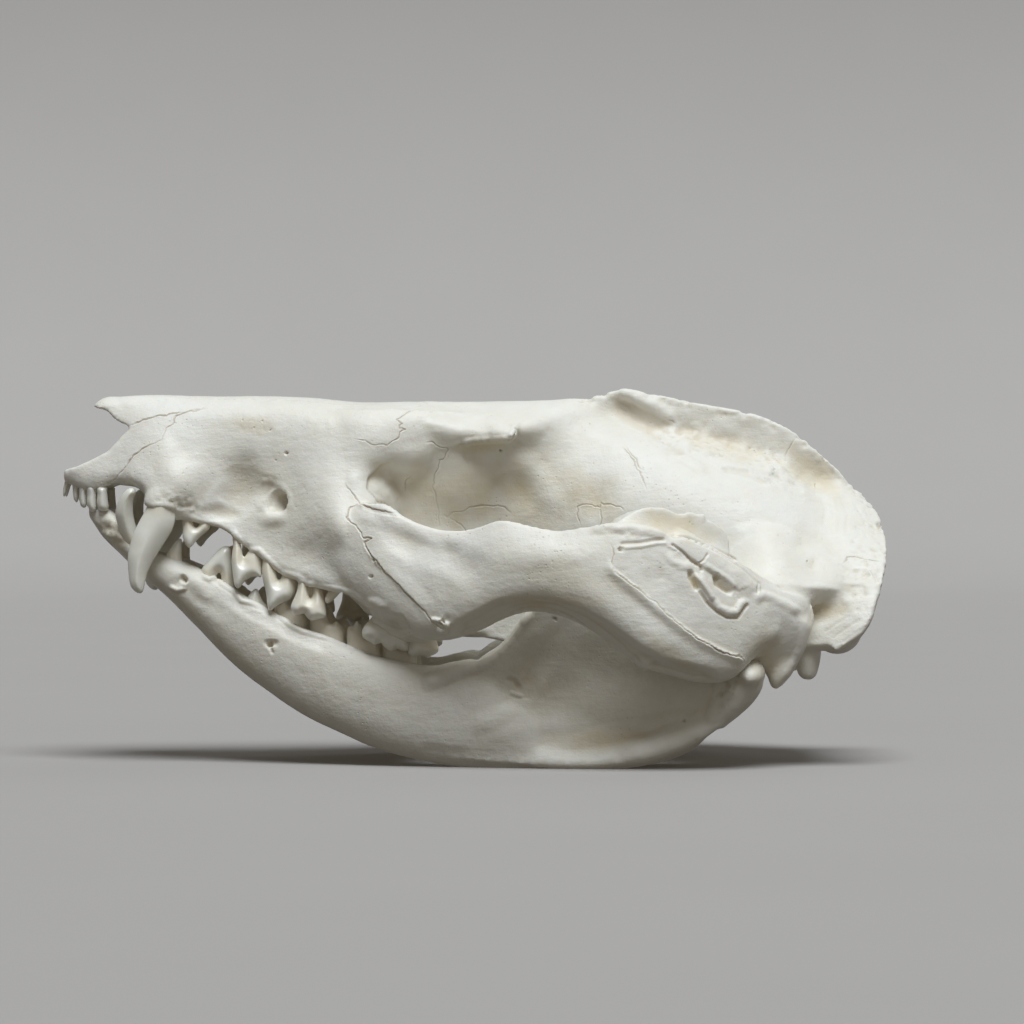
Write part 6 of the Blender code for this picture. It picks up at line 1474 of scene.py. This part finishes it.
def plate(name, y, half, reach, lean, outline):
    """Body with the given outline of (x, z), thickest in the middle, with a thin rim."""
    ring = closed_curve(outline, 4)
    clay = Clay(fused(prism(name, ring, y - half, y + half), TOOTH_VOXEL))
    gap = line_distance(clay.p[:, ::2], np.vstack([ring, ring[:1]]), reach)[0]
    thick = 0.10 + 0.90 * np.sin(np.clip(gap / reach, 0, 1) * math.pi / 2) ** 0.8
    middle = (ring[:, 1].max() + ring[:, 1].min()) / 2
    clay.p[:, 1] = y + (clay.p[:, 1] - y) * thick + lean * (clay.p[:, 2] - middle)
    clay.turn()
    return clay.obj


def crown(spec, parts, up, slope, rng, lean, neck=0.0):
    """Rods that make up a tooth or the inner part of one. It grows down where up is -1."""
    name, x, y, gum, length, width, tall = spec
    tall *= 1.0 + 0.06 * (rng.random() - 0.5)
    rods = []
    for part in parts:
        path, half = [], []
        for along, out, height, half_along, half_out in part:
            rise = height if height < 0 else neck + (1 - neck) * height
            place = x + along * length + lean * rise * tall
            path.append((place, y - out * width, gum + up * rise * tall + slope * along * length))
            half.append((half_out * width, half_along * length))
        rods.append(rod(name, path, half, rings=14, around=16))
    return rods


def enamel(rods, gum, up, slope, x, neck):
    """Fuses the rods of a tooth. Returns points, faces and how close each point is to the root."""
    clay = Clay(fused(joined("tooth", rods), TOOTH_VOXEL))
    clay.relax(2)
    clay.fill_creases(4, 0.02)
    mesh = clay.obj.data
    loops = grab(mesh.loops, "vertex_index", 1, int).ravel()
    starts = grab(mesh.polygons, "loop_start", 1, int).ravel()
    sizes = grab(mesh.polygons, "loop_total", 1, int).ravel()
    faces = [tuple(loops[s:s + n]) for s, n in zip(starts, sizes)]
    rise = up * (clay.p[:, 2] - gum - slope * (clay.p[:, 0] - x))
    root = 1 - ramp(rise, neck - 0.2, neck + 1.3)
    points = clay.p.copy()
    bpy.data.objects.remove(clay.obj)
    return points, faces, root


def row_of_teeth(name, teeth, side):
    """One object that holds the separate teeth of a row."""
    verts, faces, root = [], [], []
    start = 0
    for points, rings, share in teeth:
        verts.append(points)
        faces += [tuple(int(v) + start for v in ring) for ring in rings]
        root.append(share)
        start += len(points)
    verts = np.concatenate(verts)
    if side == "right":
        verts[:, 1] *= -1
        faces = [ring[::-1] for ring in faces]
    mesh = bpy.data.meshes.new(name)
    mesh.from_pydata([tuple(v) for v in verts], [], faces)
    obj = bpy.data.objects.new(name, mesh)
    bpy.context.scene.collection.objects.link(obj)
    keep(obj, "root", np.concatenate(root))
    return settled(obj, ENAMEL)


def upper_teeth(side, rng):
    """Teeth of one upper side."""
    molars = {t[0]: t for t in UPPER_MOLARS}
    out = []
    for name, y, half, reach, lean, neck, outline in UPPER_OUTLINES:
        outline = [from_photo(u, v, y)[::2] for u, v in outline]
        out.append(upper_tooth(name, y, half, reach, lean, neck, outline, molars, rng))
        if name == "M1":
            moved = [(x + 5.3, z - 2.3) for x, z in outline]
            out.append(upper_tooth(MISSING_TOOTH, y - 1.4, half, reach, lean, neck - 2.3, moved, molars, rng))
            if side == "left":
                out[-1] = root_stump()
    return row_of_teeth("upper_teeth_" + side, out, side)


def upper_tooth(name, y, half, reach, lean, neck, outline, molars, rng):
    """One upper tooth: the outer plate, and the inner cusps of a molar."""
    parts = [plate(name, y, half, reach, lean, outline)]
    middle = np.mean(outline, axis=0)[0]
    if name in molars:
        spec = (name, middle) + molars[name][2:]
        parts += crown(spec, INNER_MOLAR, -1, -0.45, rng, 0.0, NECKS[name])
    slope = 0.0 if name == "canine" else -0.3
    return enamel(parts, neck or NO_NECK, -1, slope, middle, 0.0)


def root_stump():
    """What is left of the second upper molar of the left side."""
    path = [(-19.4, -13.6, 28.8), (-20.4, -14.4, 26.6), (-21.6, -14.8, 24.9), (-22.0, -14.9, 24.3)]
    half = [(0.7, 0.8), (0.75, 0.85), (0.6, 0.6), (0.25, 0.25)]
    return enamel([rod("root_stump", path, half)], 22.0, -1, 0, 0, 0)


def lower_teeth(side, rng):
    """Teeth of one half of the jaw."""
    out = []
    for spec in LOWER_INCISORS:
        out.append(enamel(crown(spec, PEG, 1, 0.0, rng, -0.3), spec[3], 1, 0.0, spec[1], 0.0))
    for name, y, half, reach, lean, neck, outline in LOWER_OUTLINES:
        outline = [from_photo(u, v, y)[::2] for u, v in outline]
        middle = np.mean(outline, axis=0)[0]
        out.append(enamel([plate(name, y, half, reach, lean, outline)], neck, 1, -0.3, middle, 0.0))
    for name, x, y, gum, length, width, tall in LOWER_MOLARS:
        parts = []
        for row, share in ((-1, 1.0), (1, 0.88)):
            outline = []
            for a, b in LOWER_MOLAR:
                height = gum - 0.4 * a * length + b * tall * share * 1.15
                outline.append((x + 0.15 * row + a * length, height))
            parts.append(plate(name, y + row * width * 0.24, width * 0.30, 0.8, 0.0, outline))
        out.append(enamel(parts, gum, 1, -0.4, x, 2.0))
    return row_of_teeth("lower_teeth_" + side, out, side)


# Places of the sockets of a colour mix: its share, its two colours and its result
MIX_INPUTS = (0, 6, 7)
MIX_OUTPUT = 2


class Nodes:
    """Short hand for building a material."""

    def __init__(self, name):
        self.material = bpy.data.materials.new(name)
        self.material.use_nodes = True
        self.tree = self.material.node_tree
        self.shader = self.tree.nodes["Principled BSDF"]
        self.place = self.add("ShaderNodeTexCoord").outputs["Object"]

    def add(self, kind, **values):
        node = self.tree.nodes.new(kind)
        for key, value in values.items():
            setattr(node, key, value)
        return node

    def link(self, out, socket):
        self.tree.links.new(out, socket)

    def value(self, name):
        node = self.add("ShaderNodeAttribute", attribute_name=name)
        return node.outputs["Fac"]

    def noise(self, size, detail=4.0, rough=0.55, squeeze=(1.0, 1.0, 1.0)):
        """Noise with features of the given size in millimetres, drawn out where the squeeze is small."""
        node = self.add("ShaderNodeTexNoise")
        stretch = self.add("ShaderNodeMapping")
        stretch.inputs["Scale"].default_value = squeeze
        self.link(self.place, stretch.inputs["Vector"])
        node.inputs["Scale"].default_value = 1 / (size * MM)
        node.inputs["Detail"].default_value = detail
        node.inputs["Roughness"].default_value = rough
        self.link(stretch.outputs["Vector"], node.inputs["Vector"])
        return node.outputs["Fac"]

    def cells(self, size):
        """Distance to the nearest of scattered points."""
        node = self.add("ShaderNodeTexVoronoi")
        node.inputs["Scale"].default_value = 1 / (size * MM)
        self.link(self.place, node.inputs["Vector"])
        return node.outputs["Distance"]

    def range(self, out, low, high, to_low=0.0, to_high=1.0):
        node = self.add("ShaderNodeMapRange")
        for key, value in (("From Min", low), ("From Max", high), ("To Min", to_low), ("To Max", to_high)):
            node.inputs[key].default_value = value
        self.link(out, node.inputs["Value"])
        return node.outputs["Result"]

    def maths(self, operation, a, b):
        node = self.add("ShaderNodeMath", operation=operation)
        for socket, value in zip(node.inputs, (a, b)):
            if isinstance(value, float):
                socket.default_value = value
            else:
                self.link(value, socket)
        return node.outputs[0]

    def mix(self, share, a, b):
        """Mix of two colours, each a colour or an output."""
        node = self.add("ShaderNodeMix", data_type="RGBA")
        for number, value in zip(MIX_INPUTS, (share, a, b)):
            socket = node.inputs[number]
            if isinstance(value, (float, tuple)):
                socket.default_value = value
            else:
                self.link(value, socket)
        return node.outputs[MIX_OUTPUT]

    def bump(self, height, depth, before=None):
        node = self.add("ShaderNodeBump")
        node.inputs["Strength"].default_value = 1.0
        node.inputs["Distance"].default_value = depth * MM
        self.link(height, node.inputs["Height"])
        if before is not None:
            self.link(before, node.inputs["Normal"])
        return node.outputs["Normal"]


def bone_material(name, pale, warm, hollow_shade):
    """Dry bone: pale, darker and warmer in hollows as painted shade, lighter on raised edges as a painted
    highlight, warmer in stains and in painted shade, brown in the seams, brown in the small openings as
    painted shade, with fine pores and fibres.
    """
    m = Nodes(name)
    blotch = m.range(m.noise(14.0, 5.0, 0.6), 0.36, 0.66)
    colour = m.mix(m.maths("MULTIPLY", blotch, 0.6), pale, warm)
    mottle = m.range(m.noise(1.6, 5.0, 0.65), 0.42, 0.70)
    colour = m.mix(m.maths("MULTIPLY", mottle, 0.16), colour, (0.92, 0.91, 0.87, 1))
    # Painted shade: hollows and creases are mixed towards a warm brown
    hollow = m.value("hollow")
    colour = m.mix(m.maths("MULTIPLY", hollow, 0.6), colour, hollow_shade)
    # Stains, and painted shade in the shaded places, mixed towards a yellow-brown
    stain_and_shade = m.maths("MULTIPLY", m.value("stain_and_shade"), m.range(m.noise(2.8, 4.0, 0.6), 0.28, 0.62, 0.5, 1.0))
    colour = m.mix(m.maths("MULTIPLY", stain_and_shade, 0.6), colour, (0.68, 0.57, 0.36, 1))
    # Painted highlight: raised edges are mixed towards a pale cream
    edge_highlight = m.maths("MULTIPLY", m.value("edge_highlight"), 0.25)
    colour = m.mix(edge_highlight, colour, (0.93, 0.91, 0.85, 1))
    pore = m.range(m.cells(0.75), 0.10, 0.22, 1.0, 0.0)
    porous = m.range(m.noise(5.0, 3.0), 0.50, 0.68)
    pore = m.maths("MULTIPLY", pore, porous)
    colour = m.mix(m.maths("MULTIPLY", pore, 0.30), colour, (0.52, 0.43, 0.30, 1))
    # Dark seams, and painted shade in the small openings, mixed towards brown
    seam_and_pit_shade = m.value("seam_and_pit_shade")
    colour = m.mix(m.maths("MULTIPLY", seam_and_pit_shade, 0.62), colour, (0.44, 0.36, 0.26, 1))
    m.link(colour, m.shader.inputs["Base Color"])
    rough = m.range(m.noise(3.0, 4.0), 0.35, 0.7, 0.44, 0.62)
    m.link(rough, m.shader.inputs["Roughness"])
    grain = m.bump(m.noise(0.45, 6.0, 0.7), 0.035)
    wave = m.bump(m.noise(2.2, 4.0, 0.6), 0.16, grain)
    fibre = m.bump(m.noise(0.8, 4.0, 0.6, (0.16, 1.0, 1.0)), 0.07, wave)
    pits = m.bump(m.maths("MULTIPLY", pore, -1.0), 0.06, fibre)
    m.link(pits, m.shader.inputs["Normal"])
    m.shader.inputs["Subsurface Weight"].default_value = 0.15
    m.shader.inputs["Subsurface Radius"].default_value = (1.0, 0.62, 0.36)
    m.shader.inputs["Subsurface Scale"].default_value = 1.2 * MM
    m.shader.inputs["IOR"].default_value = 1.5
    return m.material


def enamel_material():
    """Enamel: smooth and glossy, a little see-through, tan towards the root."""
    m = Nodes("enamel")
    root = m.value("root")
    blotch = m.range(m.noise(2.2, 4.0, 0.6), 0.35, 0.68)
    colour = m.mix(m.maths("MULTIPLY", blotch, 0.5), (0.86, 0.85, 0.79, 1), (0.76, 0.73, 0.63, 1))
    colour = m.mix(m.maths("MULTIPLY", root, 0.45), colour, (0.74, 0.65, 0.48, 1))
    m.link(colour, m.shader.inputs["Base Color"])
    rough = m.range(root, 0.0, 1.0, 0.30, 0.5)
    m.link(rough, m.shader.inputs["Roughness"])
    m.link(m.bump(m.noise(0.5, 4.0, 0.6), 0.012), m.shader.inputs["Normal"])
    m.shader.inputs["Subsurface Weight"].default_value = 0.25
    m.shader.inputs["Subsurface Radius"].default_value = (1.0, 0.75, 0.5)
    m.shader.inputs["Subsurface Scale"].default_value = 1.0 * MM
    m.shader.inputs["IOR"].default_value = 1.6
    m.shader.inputs["Coat Weight"].default_value = 0.12
    m.shader.inputs["Coat Roughness"].default_value = 0.2
    return m.material


def floor_material():
    """Plain pale card."""
    m = Nodes("pale_floor")
    colour = m.mix(m.range(m.noise(60.0, 2.0), 0.3, 0.7), (0.415, 0.395, 0.382, 1), (0.421, 0.401, 0.388, 1))
    m.link(colour, m.shader.inputs["Base Color"])
    m.shader.inputs["Roughness"].default_value = 0.75
    return m.material


def floor():
    """Floor that curves up into a backdrop far behind the skull."""
    wide, front, back, radius, tall = 2500.0, -1500.0, 1200.0, 500.0, 1800.0
    line = [(front, 0.0), (back, 0.0)]
    turns = np.linspace(0.1, math.pi / 2, 14)
    line += [(back + radius * math.sin(a), radius - radius * math.cos(a)) for a in turns]
    line.append((back + radius, tall))
    verts = [(x * MM, y * MM, z * MM) for y, z in line for x in (-wide, wide)]
    faces = [(2 * i, 2 * i + 1, 2 * i + 3, 2 * i + 2) for i in range(len(line) - 1)]
    mesh = bpy.data.meshes.new("floor")
    mesh.from_pydata(verts, [], faces)
    mesh.polygons.foreach_set("use_smooth", np.ones(len(faces), bool))
    mesh.materials.append(floor_material())
    obj = bpy.data.objects.new("floor", mesh)
    bpy.context.scene.collection.objects.link(obj)
    # The underside of the skull gets no light back from the floor, so that it stays dark
    obj.visible_diffuse = False


def sun(name, source, spread, strength, colour):
    """Distant soft light that comes from a direction, spread over an angle in degrees."""
    light = bpy.data.lights.new(name, "SUN")
    light.angle = math.radians(spread)
    light.energy = strength
    light.color = colour
    obj = bpy.data.objects.new(name, light)
    obj.location = Vector(source)
    obj.rotation_euler = Vector(source).to_track_quat("Z", "Y").to_euler()
    bpy.context.scene.collection.objects.link(obj)


def studio():
    """Camera, lights and the soft light from all sides."""
    camera = bpy.data.cameras.new("camera")
    camera.lens = LENS
    camera.sensor_width = SENSOR
    eye = bpy.data.objects.new("camera", camera)
    eye.location = [v * MM for v in (VIEW_X + SHIFT[0], -EYE + SHIFT[1], VIEW_Z + SHIFT[2])]
    eye.rotation_euler = (math.radians(90), 0, 0)
    bpy.context.scene.collection.objects.link(eye)
    bpy.context.scene.camera = eye
    for light in SUNS:
        sun(*light)
    world = bpy.data.worlds.new("soft")
    world.use_nodes = True
    for socket, value in zip(world.node_tree.nodes["Background"].inputs, SKY):
        socket.default_value = value
    bpy.context.scene.world = world
    bpy.context.scene.view_settings.view_transform = "Standard"


BONE = bone_material("bone", (0.86, 0.845, 0.79, 1), (0.80, 0.76, 0.65, 1), (0.58, 0.48, 0.33, 1))
# Painted shade: the jaw gets a darker copy of the bone material, as the jaw lies in shade
JAW_BONE_SHADED = bone_material("jaw_bone", (0.75, 0.73, 0.675, 1), (0.69, 0.65, 0.55, 1), (0.52, 0.43, 0.30, 1))
ENAMEL = enamel_material()

random = np.random.default_rng(SEED)
skull = cranium()
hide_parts(*[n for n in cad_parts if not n.startswith("mandible")])
left_jaw = jaw()
right_jaw = mirrored(left_jaw, "mandible_right_bone")
for half, node in ((left_jaw, "mandible_left"), (right_jaw, "mandible_right")):
    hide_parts(node)
pieces = [skull, left_jaw, right_jaw]
for which in ("left", "right"):
    for row, slot in ((upper_teeth(which, random), "bone"), (lower_teeth(which, random), "jaw_bone")):
        pieces.append(row)
for piece in pieces:
    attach(piece, "root")
floor()
studio()
